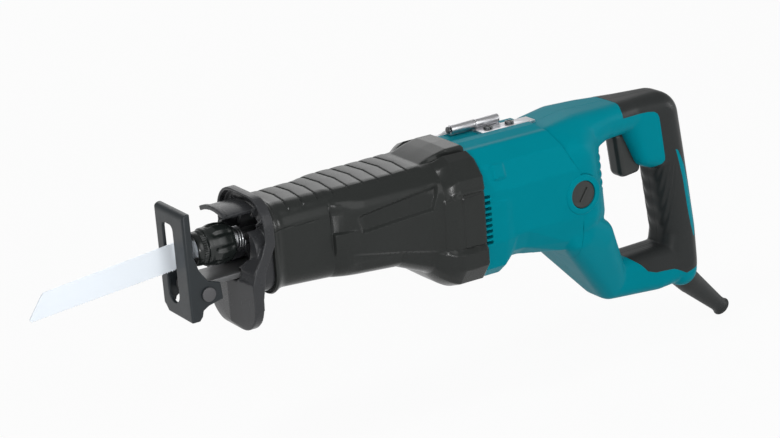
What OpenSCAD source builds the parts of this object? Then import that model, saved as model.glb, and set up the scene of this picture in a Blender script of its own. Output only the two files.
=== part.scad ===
// Corded reciprocating saw. Lengths are in millimetres.
// Working frame: X forward along the stroke, Y to the left side, Z up.
// The stroke axis is the line y = 0, z = 0 and the shoe's front face lies at x = 0.
// place() then moves the origin to the bottom centre of the whole saw.

/* [Layout] */
// Distance from the shoe's face back to the rim of the nose guard
shoe_reach = 55; // [50:1:62]
// Length of the rubber cover and the guard's rim
cover_len = 172; // [168:1:180]
// Length of the motor housing back to the brush axis
motor_len = 89; // [88:1:96]
// Length from the brush axis to the back of the grip
handle_len = 129; // [128:1:140]
// Drop of the motor axis below the stroke axis
motor_drop = 22; // [21.5:0.1:23]

/* [Blade] */
// Overall length of the blade with its tang
blade_len = 150; // [120:1:200]
// Width of the blade at its heel
blade_w = 19; // [16:0.5:20]
// Thickness of the blade
blade_t = 1.25; // [0.9:0.05:1.6]
// Downward cant of the blade's back edge in degrees
blade_cant = 5.5; // [2:0.5:7]
// Distance between two teeth
tooth_pitch = 2.5; // [1.4:0.1:4.2]
// Depth of a tooth
tooth_depth = 1.1; // [0.6:0.1:1.6]

/* [Blade clamp] */
// Radius of the clamp sleeve at its skirt
sleeve_r = 14.5; // [14:0.5:16]
// Radius of the sleeve's front lip
sleeve_front_r = 12; // [11.6:0.2:12.8]
// Length of the clamp sleeve
sleeve_len = 35; // [32:1:37]
// Radius of the plunger's clamp head
head_r = 10; // [9.5:0.1:10.6]
// Radius of the plunger rod
rod_r = 6; // [5.5:0.1:6.5]
// Running clearance of turning and sliding fits
run_gap = 0.05; // [0.02:0.01:0.1]

/* [Shoe] */
// Width of the shoe
shoe_w = 42; // [38:1:46]
// Height of the shoe above the stroke axis
shoe_up = 33; // [30:1:36]
// Depth of the shoe below the stroke axis
shoe_down = 44; // [42:1:50]
// Sheet thickness of the shoe
shoe_t = 2.5; // [2:0.1:3]
// Width of the blade slot
slot_w = 15; // [13:0.5:16]
// Sideways shift of the blade slot
slot_shift = -3; // [-4:0.5:0]
// Distance of the shoe pivot behind the shoe's face
pivot_back = 14; // [13:0.5:16]
// Drop of the shoe pivot below the stroke axis
pivot_drop = 26; // [25:0.5:28]
// Radius of the shoe pivot pin
pivot_r = 3; // [2.5:0.1:3.4]
// Width of the shoe's support bar
bar_w = 26; // [22:1:28]
// Thickness of the shoe's support bar
bar_t = 4; // [3:0.5:4.5]

/* [Nose and cover] */
// Half width of the guard's rim
rim_hw = 34; // [33:0.5:36]
// Height of the guard's rim above the stroke axis
rim_up = 32.5; // [31:0.5:36]
// Depth of the guard's skirt below the stroke axis
skirt_down = 62; // [58:1:66]
// Half width of the cover just behind the guard
cover_hw = 29; // [28.5:0.5:31]
// Half width of the cover's rear collar
collar_hw = 45; // [44:0.5:47]
// Height of the cover above the stroke axis
cover_up = 23; // [22.5:0.5:25]
// Depth of the cover's front end below the stroke axis
cover_down = 37; // [36.5:0.5:40]
// Number of grip grooves across the top of the cover
groove_count = 9; // [5:1:11]
// Gap between the gear housing and the cover
cover_gap = 0.3; // [0.2:0.1:0.6]

/* [Drive] */
// Number of teeth on the pinion
pinion_teeth = 12; // [12:4:12]
// Number of pinion turns for one turn of the crank
gear_ratio = 4; // [4:1:4]
// Pitch radius of the pinion
pinion_r = 6.4; // [6.3:0.05:6.5]
// Distance of the crank axis ahead of the cover's rear edge
crank_ahead = 55; // [54:0.5:56]
// Radius of the crank pin's circle, half the stroke
crank_r = 14; // [12:0.5:15]
// Radius of the armature shaft
shaft_r = 4; // [3.5:0.1:4.5]

/* [Motor] */
// Radius of the stator and of the bore that holds it
stator_r = 35; // [34:0.5:35.5]
// Radius of the armature core
core_r = 22; // [20:0.5:23]
// Air gap between the armature and the stator
air_gap = 0.6; // [0.4:0.1:1]
// Half width of the motor housing
motor_hw = 41; // [40:0.5:43]
// Radius of a brush cap
cap_r = 10.3; // [9.5:0.1:11]
// Number of vent slots on each side
vent_count = 9; // [5:1:10]

/* [Handle] */
// Half width of the grip
grip_hw = 17.5; // [16.5:0.5:19]
// Half width of the handle's top bar
top_hw = 19.5; // [19:0.5:21]
// Height of the handle's top above the stroke axis
handle_up = 31; // [30:0.5:33]
// Depth of the lower bar below the stroke axis
handle_down = 128; // [126:0.5:132]
// Thickness of the rubber on the grip
rubber_t = 2.5; // [1.5:0.1:3]
// Travel of the trigger
trigger_travel = 7; // [5:0.5:8]
// Half width of the trigger
trigger_hw = 8.5; // [7:0.5:9]

/* [Cord guard] */
// Length of the cord guard outside the handle
guard_len = 43; // [30:1:60]
// Radius of the cord guard at the handle
guard_root_r = 9.7; // [9:0.1:10.5]
// Radius of the cord guard at its free end
guard_tip_r = 7.5; // [6.5:0.1:8.5]
// Radius of the bore for the cord
cord_bore_r = 4.2; // [3.5:0.1:5]
// Angle of the cord guard below the horizontal
guard_angle = 43; // [35:1:50]

/* [Hook] */
// Length of the hook's hinge barrel
barrel_len = 42; // [36:1:46]
// Radius of the hook's hinge barrel
barrel_r = 3.4; // [3.2:0.1:3.8]
// Sheet thickness of the hook
hook_t = 2; // [1.5:0.1:2.2]

/* [Hidden] */
$fn = 48;
gap = 0.3;
rim_t = 7;
rim_x = -shoe_reach;
cover_x = rim_x - rim_t;
part_x = rim_x - cover_len;
cover_depth = cover_len - rim_t;
brush_x = part_x - motor_len;
back_x = brush_x - handle_len;
motor_z = -motor_drop;
crank_x = part_x + crank_ahead;

// Blade, clamp and plunger
sleeve_x = -15;
sleeve_back = sleeve_x - sleeve_len;
head_front = sleeve_x - 4;
head_back = sleeve_back + 4;
tang_h = 12;
tang_len = 20;
tang_slot = 0.15;
blade_tail = head_front - 23.5;
blade_tip = blade_tail + blade_len;
lock_r = 2.5;
lock_x = head_front - 13;
stroke_fwd = 4;
stroke_back = 2 * crank_r - stroke_fwd;
spring_wire = 0.7;
spring_r = rod_r + 2;
spring_turns = 3;
spring_pitch = 2 * spring_wire + 0.6;
bush_len = 16;
bush_r = 9;
front_bush_x = cover_x - 24;
rear_bush_x = crank_x + 48;

// Shoe and its support bar
pivot_x = -pivot_back;
pivot_z = -pivot_drop;
eye_r = pivot_r + 4;
bar_top = -sleeve_r - 5.5;
bar_back = cover_x - 55;
shoe_in_hw = shoe_w / 2 - shoe_t;
lip_r = 4.5;

// Gear housing envelope inside the cover
barrel_hw = cover_hw - 4;
barrel_up = cover_up - 2;
barrel_down = cover_down - 4;
box_hw = collar_hw - 13.5;
box_front = crank_x + 34;
box_back = crank_x - 34;
box_down = cover_down + 2;
bell_hw = collar_hw - 5;
bell_up = cover_up + 1;
bell_down = cover_down + 22;
nose_bore_r = sleeve_r + 2;
guard_bore_r = sleeve_r + 5.5;

// Crank gear and pinion
gear_teeth = pinion_teeth * gear_ratio;
gear_r = pinion_r * gear_ratio;
tooth_half = 2.3;
tooth_pitch_len = 2 * PI * pinion_r / pinion_teeth;
mesh_z = motor_z + pinion_r;
gear_out_r = gear_r + tooth_half;
gear_low = mesh_z + 1.2;
gear_top = gear_low + 4;
yoke_low = -rod_r - 1.5;
roller_r = 5;
chamber_r = gear_out_r + 0.9;
chamber_top = 12;
floor_z = -box_down + 5;
crank_shaft_r = 6;
crank_bearing_r = 12;
plate_r = box_hw - 8.1;
plate_screw_r = plate_r - 2.4;

// Motor
fan_front = part_x - 3;
stator_front = part_x - 23;
stator_len = 40;
stator_back = stator_front - stator_len;
bore_back = stator_back - 10;
spigot_r = 30;
spigot_in_r = 26;
spigot_back = brush_x - 26;
commutator_r = 14;
bearing_front_r = 11;
bearing_back_r = 9.5;
bearing_len = 8;
front_bearing_x = part_x + 10;
boss_r = cap_r + 5;
boss_y = motor_hw + 0.5;
holder_r = 8;
holder_in = 15.5;
holder_out = 31;
cap_head = 4;
brush_w = 6;
brush_h = 8;
brush_out = 24;
brush_wire = 0.4;
brush_turns = 5;
brush_spring_pitch = (holder_out - brush_out - 2 * brush_wire + 0.2) / brush_turns;

// Handle, written as round pucks: [x, z, radius, half width, edge rounding]
seam_top = brush_x + 19;
rubber_front = back_x + 77;
top_mid = handle_up - 13;
low_mid = -handle_down + 12.5;
rear_upper = [brush_x - 2, 4, 22, motor_hw - 1, 17];
rear_lower = [brush_x - 2, -38, 22, motor_hw - 1, 14];
wall_upper = [brush_x - 12, handle_up - 17.5, 18, motor_hw - 8, 14];
wall_lower = [brush_x - 17, -44, 14.5, motor_hw - 10];
top_front = [back_x + 93, top_mid, 13, top_hw + 6];
top_back = [back_x + 60, top_mid - 0.5, 12.5, top_hw];
corner = [back_x + 33.5, handle_up - 21, 19.5, top_hw - 1];
bay_low = [back_x + 46, -14, 12, top_hw - 1.5];
grip_top = [back_x + 24, -20, 14.8, grip_hw];
grip_low = [back_x + 15.5, -85, 14.8, grip_hw];
heel = [back_x + 17, low_mid + 5.5, 17, grip_hw];
heel_drop = [back_x + 13.8, low_mid - 2.5, 13.5, grip_hw - 1];
low_back = [back_x + 40, low_mid, 12.5, grip_hw];
low_front = [back_x + 84, low_mid + 6, 15, grip_hw];
strut_top = [brush_x, -53, 17, motor_hw - 10, 12];
strut_wall = [brush_x - 21, -66, 15, motor_hw - 13];
puck_edge = 8;

// Switch and trigger
bay_front = back_x + 63;
switch_front = back_x + 38;
switch_len = 20;
trigger_gap = 0.5;
trigger_corners = [
  [bay_front + 5, 1, 4.2], [bay_front + 0.5, -27, 5],
  [bay_front - 9, -26, 5], [bay_front - 12, 1, 4.2]
];

// Cord guard: where its axis leaves the handle, and its free end
guard_x = back_x;
guard_z = low_mid - 19;
guard_end_x = guard_x - guard_len * cos(guard_angle);
guard_end_z = guard_z - guard_len * sin(guard_angle);
guard_inner = 14;

// Hook on top of the motor housing
roof_z = 27.5;
base_t = 2;
barrel_y = -15;
base_near = 1;
base_far = barrel_y + 4;
hook_screw_y = -5.5;
barrel_z = roof_z + base_t + barrel_r - 0.4;
barrel_back = part_x - 55;
barrel_front = barrel_back + barrel_len;
barrel_split = barrel_back + barrel_len / 2;
pin_r = 1.6;
hook_screw_pitch = 19;
base_back = part_x - 78;
base_front = part_x - 31;

// The origin of the finished part
low_z = guard_end_z - guard_tip_r * cos(guard_angle);
tail_x = guard_end_x - guard_tip_r * sin(guard_angle);
mid_x = (blade_tip + tail_x) / 2;

// Screw places on the right side of the handle: [x, z, depth of the head's seat]
screw_places = [
  [brush_x - 22, handle_up - 12, 24],
  [brush_x - 23, -54, 21],
  [back_x + 55, handle_up - 13, 13],
  [back_x + 20.5, -57.5, 11],
  [back_x + 55, low_mid + 1.5, 11]
];
head_screw_r = 3.6;
shank_r = 1.9;

// Moves a piece from the working frame to the part's own frame
module place() {
  translate([-mid_x, 0, -low_z]) children();
}

// Outline of a rounded box across the tool: half width, top, bottom, corner radius
function rounded(hw, top, bottom, r, n = 5) = [
  for (c = [[1, 1, 0], [-1, 1, 90], [-1, -1, 180], [1, -1, 270]])
    for (i = [0 : n])
      let (a = c[2] + 90 * i / n,
           cy = c[0] * (hw - r),
           cz = c[1] > 0 ? top - r : bottom + r)
        [cy + r * cos(a), cz + r * sin(a)]
];

// A solid of one cross section, from x1 (rear) to x2 (front)
module along_x(x1, x2, points) {
  translate([x1, 0, 0]) rotate([90, 0, 90]) linear_extrude(x2 - x1) polygon(points);
}

// A side outline in X and Z, thickened to the half width hw
module across_y(hw, points) {
  translate([0, hw, 0]) rotate([90, 0, 0]) linear_extrude(2 * hw) polygon(points);
}

// Round bar along X from x1 to x2 about the line y, z
module rod_x(x1, x2, r, z = 0, y = 0) {
  translate([x1, y, z]) rotate([0, 90, 0]) cylinder(h = x2 - x1, r = r);
}

// Round bar along Y from y1 to y2 about the line x, z
module rod_y(y1, y2, r, x, z) {
  translate([x, y1, z]) rotate([-90, 0, 0]) cylinder(h = y2 - y1, r = r);
}

// Box from its lowest to its highest corner
module block(low, high) {
  translate(low) cube(high - low);
}

// Points of a helical tube about Z, and the tube itself as one closed solid
coil_sides = 6;
coil_steps = 8;
function coil_ring(r, pitch, wire, step) =
  let (a = 360 * step / coil_steps)
    [for (k = [0 : coil_sides - 1])
      let (b = 360 * k / coil_sides, d = r + wire * cos(b))
        [d * cos(a), d * sin(a), pitch * step / coil_steps + wire * sin(b)]];

module coil(r, pitch, wire, turns) {
  rings = turns * coil_steps;
  points = [for (s = [0 : rings]) each coil_ring(r, pitch, wire, s)];
  walls = [
    for (s = [0 : rings - 1])
      for (k = [0 : coil_sides - 1])
        let (n = (k + 1) % coil_sides, p = s * coil_sides, q = p + coil_sides)
          each [[p + k, q + n, q + k], [p + k, p + n, q + n]]
  ];
  first = [for (k = [1 : coil_sides - 2]) [0, k + 1, k]];
  end = rings * coil_sides;
  last = [for (k = [1 : coil_sides - 2]) [end, end + k, end + k + 1]];
  polyhedron(points, concat(walls, first, last));
}

// Least distance between one turn's points and the next turn's points
function coil_gap(r, pitch, wire) = min([
  for (s = [0 : coil_steps - 1]) for (t = [coil_steps - 1 : coil_steps + 1])
    for (p = coil_ring(r, pitch, wire, s)) for (q = coil_ring(r, pitch, wire, s + t)) norm(p - q)
]);
echo(clamp_spring_gap = coil_gap(spring_r, spring_pitch, spring_wire));
echo(brush_spring_gap = coil_gap(2.2, brush_spring_pitch, brush_wire));

// Blade with a canted back, a raked tip and fine teeth along its lower edge
function blade_edge_z(x) = -blade_w / 2 - (x + 20) * tan(blade_cant - 0.6);
module blade() {
  heel_x = sleeve_x + 3;
  top_z = blade_w / 2;
  teeth = floor((blade_tip - 6 - heel_x - 4) / tooth_pitch);
  first_tooth = heel_x + 4;
  back_tip = top_z - (blade_tip - 12 - heel_x) * tan(blade_cant + 0.6);
  outline = concat(
    [[blade_tail, -tang_h / 2], [blade_tail, tang_h / 2], [heel_x - 4, tang_h / 2], [heel_x, top_z]],
    [[blade_tip - 12, back_tip], [blade_tip, blade_edge_z(blade_tip)]],
    [for (i = [teeth : -1 : 0])
      let (x = first_tooth + i * tooth_pitch)
        each [[x + 0.35 * tooth_pitch, blade_edge_z(x)], [x, blade_edge_z(x) + tooth_depth]]],
    [[heel_x, blade_edge_z(heel_x)], [heel_x - 4, -tang_h / 2]]
  );
  color([0.86, 0.9, 0.94]) place() difference() {
    across_y(blade_t / 2, outline);
    rod_y(-blade_t, blade_t, lock_r + 0.2, lock_x, 0);
  }
}

// Twist sleeve: stepped outside, with finger flutes and a knurled front ring
module blade_clamp_sleeve() {
  color([0.17, 0.19, 0.19]) place() difference() {
    translate([sleeve_back, 0, 0]) rotate([0, 90, 0]) rotate_extrude() polygon([
      [head_r + run_gap, 0], [sleeve_r - 1, 0], [sleeve_r, 1], [sleeve_r, 16],
      [sleeve_front_r + 1.5, 24], [sleeve_front_r + 1.5, 27], [sleeve_front_r, 28],
      [sleeve_front_r, sleeve_len - 1.5], [sleeve_front_r - 1.5, sleeve_len],
      [head_r + run_gap, sleeve_len]
    ]);
    for (i = [0 : 7])
      rotate([45 * i + 22.5, 0, 0])
        rod_x(sleeve_back + 3, sleeve_back + 24, 3, sleeve_r + 1.7);
  }
}

// Torsion spring behind the sleeve
module clamp_spring() {
  color([0.62, 0.63, 0.65]) place()
    translate([head_back - spring_wire + 0.4, 0, 0]) rotate([0, -90, 0])
      coil(spring_r, spring_pitch, spring_wire, spring_turns);
}

// Cross pin that locks the blade's tang
module clamp_lock_pin() {
  color([0.7, 0.7, 0.72]) place() difference() {
    rod_y(-head_r + 0.6, head_r - 0.6, lock_r, lock_x, 0);
    block([lock_x - 1, -head_r, lock_r - 0.6], [lock_x + 1, head_r, lock_r + 1]);
  }
}

// Plunger: clamp head, round rod and the yoke that the crank drives
module plunger() {
  yoke_x = crank_x + crank_r - stroke_fwd;
  color([0.68, 0.69, 0.71]) place() difference() {
    union() {
      rod_x(head_back, head_front, head_r);
      rod_x(yoke_x, head_back, rod_r);
      block([yoke_x - 7, -20, yoke_low], [yoke_x + 7, 20, 8]);
    }
    block([blade_tail - 1, -blade_t / 2 - tang_slot, -tang_h / 2 - tang_slot],
          [head_front + 1, blade_t / 2 + tang_slot, tang_h / 2 + tang_slot]);
    rod_y(-head_r, head_r, lock_r, lock_x, 0);
    block([yoke_x - 4.5, -17.5, yoke_low - 1], [yoke_x + 4.5, 17.5, yoke_low + 4]);
  }
}

// Two sintered bushes that guide the plunger
module plunger_bushes() {
  color([0.72, 0.56, 0.32]) place() for (x = [front_bush_x, rear_bush_x])
    difference() {
      rod_x(x - bush_len, x, bush_r);
      rod_x(x - bush_len - 1, x + 1, rod_r + run_gap);
    }
}

// Wiper seal in front of the first bush
module plunger_seal() {
  color([0.1, 0.1, 0.1]) place() difference() {
    rod_x(front_bush_x, front_bush_x + 4, bush_r + 2);
    rod_x(front_bush_x - 1, front_bush_x + 5, rod_r + 2 * run_gap);
  }
}

// Shoe: slotted front plate with a rolled top lip and two side flanges
module shoe_flange(side) {
  outer = side * shoe_w / 2;
  inner = side * shoe_in_hw;
  points = [
    [0, shoe_up - lip_r], [-6, shoe_up - lip_r], [-6, 2], [-9, -8], [-15, pivot_z + 9],
    [-24, pivot_z + 6], [-25, pivot_z - 6], [-14, pivot_z - 8.5], [-9.5, pivot_z - 11],
    [-8.5, -shoe_down + 3], [-6, -shoe_down], [0, -shoe_down]
  ];
  translate([0, max(outer, inner), 0]) rotate([90, 0, 0]) linear_extrude(shoe_t) polygon(points);
}
module shoe() {
  half = shoe_w / 2;
  plate = [
    [-half, shoe_up - lip_r], [-half, -shoe_down + 7], [-half + 7, -shoe_down],
    [half, -shoe_down], [half, shoe_up - lip_r]
  ];
  slot_low = -shoe_down + 9 + slot_w / 2;
  slot_high = shoe_up - 11;
  color([0.3, 0.31, 0.32]) place() difference() {
    union() {
      along_x(-shoe_t, 0, plate);
      shoe_flange(1);
      shoe_flange(-1);
      intersection() {
        difference() {
          rod_y(-half, half, lip_r, -lip_r, shoe_up - lip_r);
          rod_y(-half - 1, half + 1, lip_r - shoe_t, -lip_r, shoe_up - lip_r);
        }
        block([-lip_r - 1.5, -half, shoe_up - lip_r], [0, half, shoe_up]);
      }
    }
    block([-shoe_t - 1, slot_shift - slot_w / 2, slot_low], [1, slot_shift + slot_w / 2, slot_high - 4]);
    block([-shoe_t - 1, slot_shift - slot_w / 2 + 4, slot_high - 5],
          [1, slot_shift + slot_w / 2 - 4, slot_high]);
    for (side = [-1, 1])
      rod_x(-shoe_t - 1, 1, 4, slot_high - 4, slot_shift + side * (slot_w / 2 - 4));
    rod_x(-shoe_t - 1, 1, slot_w / 2, slot_low, slot_shift);
    rod_y(-half - 1, half + 1, pivot_r + run_gap, pivot_x, pivot_z);
  }
}

// Headed pivot pin, tight in the bar's eye
module shoe_pivot_pin() {
  half = shoe_w / 2;
  color([0.42, 0.43, 0.44]) place() {
    rod_y(-half - gap, half + gap, pivot_r, pivot_x, pivot_z);
    rod_y(half + gap, half + gap + 1.6, pivot_r + 2, pivot_x, pivot_z);
    rod_y(-half - gap - 1.6, -half - gap, pivot_r + 2, pivot_x, pivot_z);
  }
}

// Flat bar that carries the shoe and slides in the gear housing
module shoe_bar() {
  color([0.55, 0.56, 0.58]) place() difference() {
    union() {
      block([bar_back, -bar_w / 2, bar_top - bar_t], [pivot_x, bar_w / 2, bar_top]);
      rod_y(-bar_w / 2, bar_w / 2, eye_r, pivot_x, pivot_z);
    }
    rod_y(-bar_w, bar_w, pivot_r, pivot_x, pivot_z);
  }
}

// Two socket screws under the nose that clamp the bar
clamp_screw_x = [cover_x - 12, cover_x - 17.5];
module shoe_bar_screws() {
  head_z = -barrel_down;
  color([0.4, 0.41, 0.42]) place() for (x = clamp_screw_x)
    difference() {
      union() {
        translate([x, 0, head_z]) cylinder(h = bar_top - bar_t - gap - head_z, r = shank_r);
        translate([x, 0, head_z - 3]) cylinder(h = 3, r = 2.6);
      }
      translate([x, 0, head_z - 4]) cylinder(h = 2.5, r = 1.4, $fn = 6);
    }
}

// Nose guard: rim against the hand, visor above the clamp, skirt below
module nose_guard() {
  skirt_x = rim_x + 13;
  side = [
    [cover_x, rim_up], [rim_x, rim_up], [rim_x, 4], [rim_x + 4, -6], [skirt_x - 2, -18],
    [skirt_x, -24], [skirt_x, -skirt_down + 6], [skirt_x - 3, -skirt_down],
    [skirt_x - 6, -skirt_down], [skirt_x - 7.5, -36], [skirt_x - 11, -17], [cover_x, 1]
  ];
  color([0.27, 0.28, 0.29]) place() difference() {
    union() {
      intersection() {
        across_y(rim_hw, side);
        along_x(cover_x, skirt_x, rounded(rim_hw, rim_up, -skirt_down, 22, 6));
      }
      along_x(cover_x, skirt_x - 7, rounded(cover_hw, 10, -cover_down, 17));
      intersection() {
        block([rim_x, -15, 20], [rim_x + 22, 15, 30]);
        difference() {
          rod_x(rim_x, rim_x + 22, 46, -19.5);
          rod_x(rim_x - 1, rim_x + 23, 43, -19.5);
        }
      }
    }
    rod_x(cover_x - 1, skirt_x + 1, guard_bore_r);
    block([cover_x - 1, -bar_w / 2 - gap, bar_top - bar_t - gap], [skirt_x + 1, bar_w / 2 + gap, 0]);
    block([skirt_x - 3.5, -rim_hw + 6, -50], [skirt_x + 1, rim_hw - 6, bar_top + 1]);
  }
}

// Rubber cover: stations along the tool, [share of its depth, half width, top, bottom, corner]
cover_stations = [
  [0.0001, cover_hw, cover_up, -cover_down, 16],
  [0.315, cover_hw + 1, cover_up + 0.5, -cover_down - 3, 16],
  [0.4, cover_hw + 5.5, cover_up + 1, -cover_down - 4.5, 17],
  [0.606, cover_hw + 7.5, cover_up + 1, -cover_down - 7, 18],
  [0.745, collar_hw - 7, cover_up + 1.5, -cover_down - 17, 20],
  [0.848, collar_hw - 3, cover_up + 4.5, -cover_down - 27, 24],
  [0.933, collar_hw, cover_up + 6, -cover_down - 31.5, 26],
  [1, collar_hw, cover_up + 6, -cover_down - 32, 26]
];
module cover_slice(s) {
  x = cover_x - s[0] * cover_depth;
  along_x(x, x + 0.0001 * cover_depth, rounded(s[1], s[2], s[3], s[4], 4));
}
// Gear housing's outer shape, grown by g for the hollow of the cover
module housing_shape(g) {
  along_x(box_front - 1, cover_x, rounded(barrel_hw + g, barrel_up + g, -barrel_down - g, 12 + g));
  along_x(box_back - 1, box_front + g, rounded(box_hw + g, barrel_up + g, -box_down - g, 8 + g));
  along_x(part_x, box_back + g, rounded(bell_hw + g, bell_up + g, -bell_down - g, 18 + g));
}
module front_cover() {
  groove_step = cover_depth / 1.5 / groove_count;
  strip_back = cover_x - 0.8 * cover_depth;
  strip = [for (s = [[0, 1], [0.315, 2.4], [0.4, 2.4], [0.745, 3.6], [0.8, 0]])
    [cover_x - s[0] * cover_depth, cover_up + s[1]]];
  color([0.22, 0.23, 0.23]) place() difference() {
    union() {
      for (i = [0 : len(cover_stations) - 2]) hull() {
        cover_slice(cover_stations[i]);
        cover_slice(cover_stations[i + 1]);
      }
      across_y(16, concat(strip, [[strip_back, 0], [cover_x, 0]]));
      for (side = [-1, 1]) for (a = [30, 62])
        translate([part_x, 0, motor_z]) rotate([-side * a, 0, 0])
          block([0, -8, 40], [24, 8, collar_hw + 7]);
    }
    for (i = [0 : groove_count - 1])
      block([cover_x - 14 - i * groove_step, -18, cover_up + 1.2],
            [cover_x - 12.6 - i * groove_step, 18, cover_up + 5]);
    for (side = [-1, 1]) hull() {
      translate([cover_x - 0.436 * cover_depth, side * (cover_hw + 7.2), 2]) cube([1, 6, 14], center = true);
      translate([cover_x - 0.776 * cover_depth, side * (cover_hw + 11.2), 0]) cube([1, 7, 18], center = true);
    }
    intersection() {
      housing_shape(cover_gap);
      block([part_x - 1, -100, -100], [cover_x, 100, 100]);
    }
    for (x = clamp_screw_x)
      translate([x, 0, -cover_down - 9]) cylinder(h = 15, r = 3.2);
  }
}

// Four round studs on the gear cover plate's screw circle, from height z upwards
module plate_studs(z, h) {
  for (a = [45 : 90 : 315])
    translate([crank_x + plate_screw_r * cos(a), plate_screw_r * sin(a), z]) cylinder(h = h, r = 1.5);
}

// Cast gear housing: nose bore, bush seats, gear chamber and the bell at the motor
module gear_housing() {
  color([0.6, 0.61, 0.62]) place() difference() {
    housing_shape(0);
    rod_x(front_bush_x + 4, cover_x + 1, nose_bore_r);
    rod_x(front_bush_x - 1, front_bush_x + 5, bush_r + 2);
    rod_x(rear_bush_x - bush_len - 1, front_bush_x + 1, bush_r);
    rod_x(rear_bush_x + 2, front_bush_x - bush_len - 2, bush_r + 4);
    rod_x(crank_x, rear_bush_x, rod_r + 1);
    block([bar_back - 2, -bar_w / 2 - gap, bar_top - bar_t - gap],
          [cover_x + 1, bar_w / 2 + gap, bar_top + gap]);
    translate([crank_x, 0, floor_z]) cylinder(h = chamber_top - floor_z, r = chamber_r);
    block([crank_x - 23, -22, floor_z], [crank_x + 23, 22, chamber_top]);
    translate([crank_x, 0, -box_down - 1]) cylinder(h = 3, r = plate_r);
    translate([crank_x, 0, -box_down]) cylinder(h = 6, r = plate_r - 5);
    rod_x(front_bearing_x - bearing_len, front_bearing_x, bearing_front_r, motor_z);
    rod_x(front_bearing_x - 1, crank_x, pinion_r + 3, motor_z);
    along_x(part_x - 1, part_x + 3, rounded(bell_hw - 6, bell_up - 6, -bell_down + 6, 14));
    for (x = clamp_screw_x) {
      translate([x, 0, -barrel_down - 1]) cylinder(h = bar_top - bar_t + barrel_down + 1, r = shank_r);
      translate([x, 0, -barrel_down - 4]) cylinder(h = 4, r = 3);
    }
    plate_studs(-box_down - 1, 9);
  }
}

// Round plate that closes the gear chamber and seats the crank's bearing
module gear_cover_plate() {
  color([0.58, 0.59, 0.6]) place() difference() {
    union() {
      translate([crank_x, 0, -box_down]) cylinder(h = 2, r = plate_r);
      translate([crank_x, 0, -box_down]) cylinder(h = 5, r = plate_r - 5);
    }
    translate([crank_x, 0, -box_down + 2]) cylinder(h = 4, r = crank_bearing_r);
    plate_studs(-box_down - 1, 4);
  }
}

// Four countersunk screws of the gear cover plate
module gear_cover_screws() {
  color([0.5, 0.5, 0.52]) place() plate_studs(-box_down, 7);
}

// Crank gear with face teeth that look down at the pinion
module crank_gear() {
  step = 360 / gear_teeth;
  wide = 0.34 * tooth_pitch_len;
  color([0.5, 0.5, 0.52]) place() translate([crank_x, 0, 0]) difference() {
    union() {
      translate([0, 0, gear_low]) cylinder(h = gear_top - gear_low, r = gear_out_r);
      translate([0, 0, -box_down + 2 + gap])
        cylinder(h = gear_low + box_down - 1 - gap, r = crank_shaft_r);
      for (i = [0 : gear_teeth - 1])
        rotate([0, 0, step * (i + 0.5)])
          block([gear_r - tooth_half, -wide / 2, gear_low - 1.9],
                [gear_r + tooth_half - 0.2, wide / 2, gear_low + 0.5]);
    }
    translate([0, crank_r, gear_low - 1]) cylinder(h = gear_top - gear_low + 2, r = 3);
    translate([0, -15, gear_low - 1]) cylinder(h = gear_top - gear_low + 2, r = 4);
  }
}

// Crank pin pressed into the gear, and the roller that turns on it
module crank_pin() {
  color([0.7, 0.7, 0.72]) place() translate([crank_x, crank_r, gear_low])
    cylinder(h = yoke_low - gap - gear_low, r = 3);
}
module crank_roller() {
  color([0.75, 0.75, 0.77]) place() translate([crank_x, crank_r, gear_top + 0.1]) difference() {
    cylinder(h = yoke_low - gap - gear_top - 0.1, r = roller_r);
    translate([0, 0, -1]) cylinder(h = 20, r = 3 + run_gap);
  }
}

// Ball bearing drawn as its two rings joined by a web
module ball_bearing(len, bore, out) {
  difference() {
    cylinder(h = len, r = out);
    translate([0, 0, -1]) cylinder(h = len + 2, r = bore);
    for (z = [-1, len - 0.8])
      translate([0, 0, z]) difference() {
        cylinder(h = 1.8, r = out - 1.6);
        translate([0, 0, -1]) cylinder(h = 4, r = bore + 1.6);
      }
  }
}
module crank_bearing() {
  color([0.66, 0.67, 0.68]) place() translate([crank_x, 0, -box_down + 2])
    ball_bearing(8, crank_shaft_r + run_gap, crank_bearing_r);
}

// Armature: shaft with pinion teeth, laminated core, windings, commutator and fan
module armature_shaft() {
  back = spigot_back + 5;
  front = crank_x - gear_r + tooth_half;
  wide = 0.3 * tooth_pitch_len;
  color([0.72, 0.72, 0.74]) place() union() {
    rod_x(back, front - 4, shaft_r, motor_z);
    rod_x(front - 5.2, front, pinion_r - 1.35, motor_z);
    translate([0, 0, motor_z]) for (i = [0 : pinion_teeth - 1])
      rotate([360 / pinion_teeth * i, 0, 0])
        block([front - 5.2, -wide / 2, pinion_r - 1.7], [front, wide / 2, pinion_r + 0.5]);
  }
}
module shaft_ring(x1, x2, r) {
  difference() {
    rod_x(x1, x2, r, motor_z);
    rod_x(x1 - 1, x2 + 1, shaft_r, motor_z);
  }
}
module armature_core() {
  color([0.45, 0.46, 0.48]) place() difference() {
    shaft_ring(stator_back, stator_front, core_r);
    translate([0, 0, motor_z]) for (i = [0 : 11])
      rotate([30 * i, 0, 0])
        block([stator_back - 1, -0.8, core_r - 2], [stator_front + 1, 0.8, core_r + 1]);
  }
}
module armature_windings() {
  color([0.72, 0.4, 0.2]) place() {
    shaft_ring(stator_front, stator_front + 6, core_r - 3);
    shaft_ring(stator_back - 8, stator_back, core_r - 3);
  }
}
module commutator() {
  color([0.76, 0.45, 0.24]) place() difference() {
    shaft_ring(brush_x - 10, brush_x + 10, commutator_r);
    translate([0, 0, motor_z]) for (i = [0 : 15])
      rotate([22.5 * i, 0, 0])
        block([brush_x - 11, -0.3, commutator_r - 1.2], [brush_x + 11, 0.3, commutator_r + 1]);
  }
}
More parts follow.
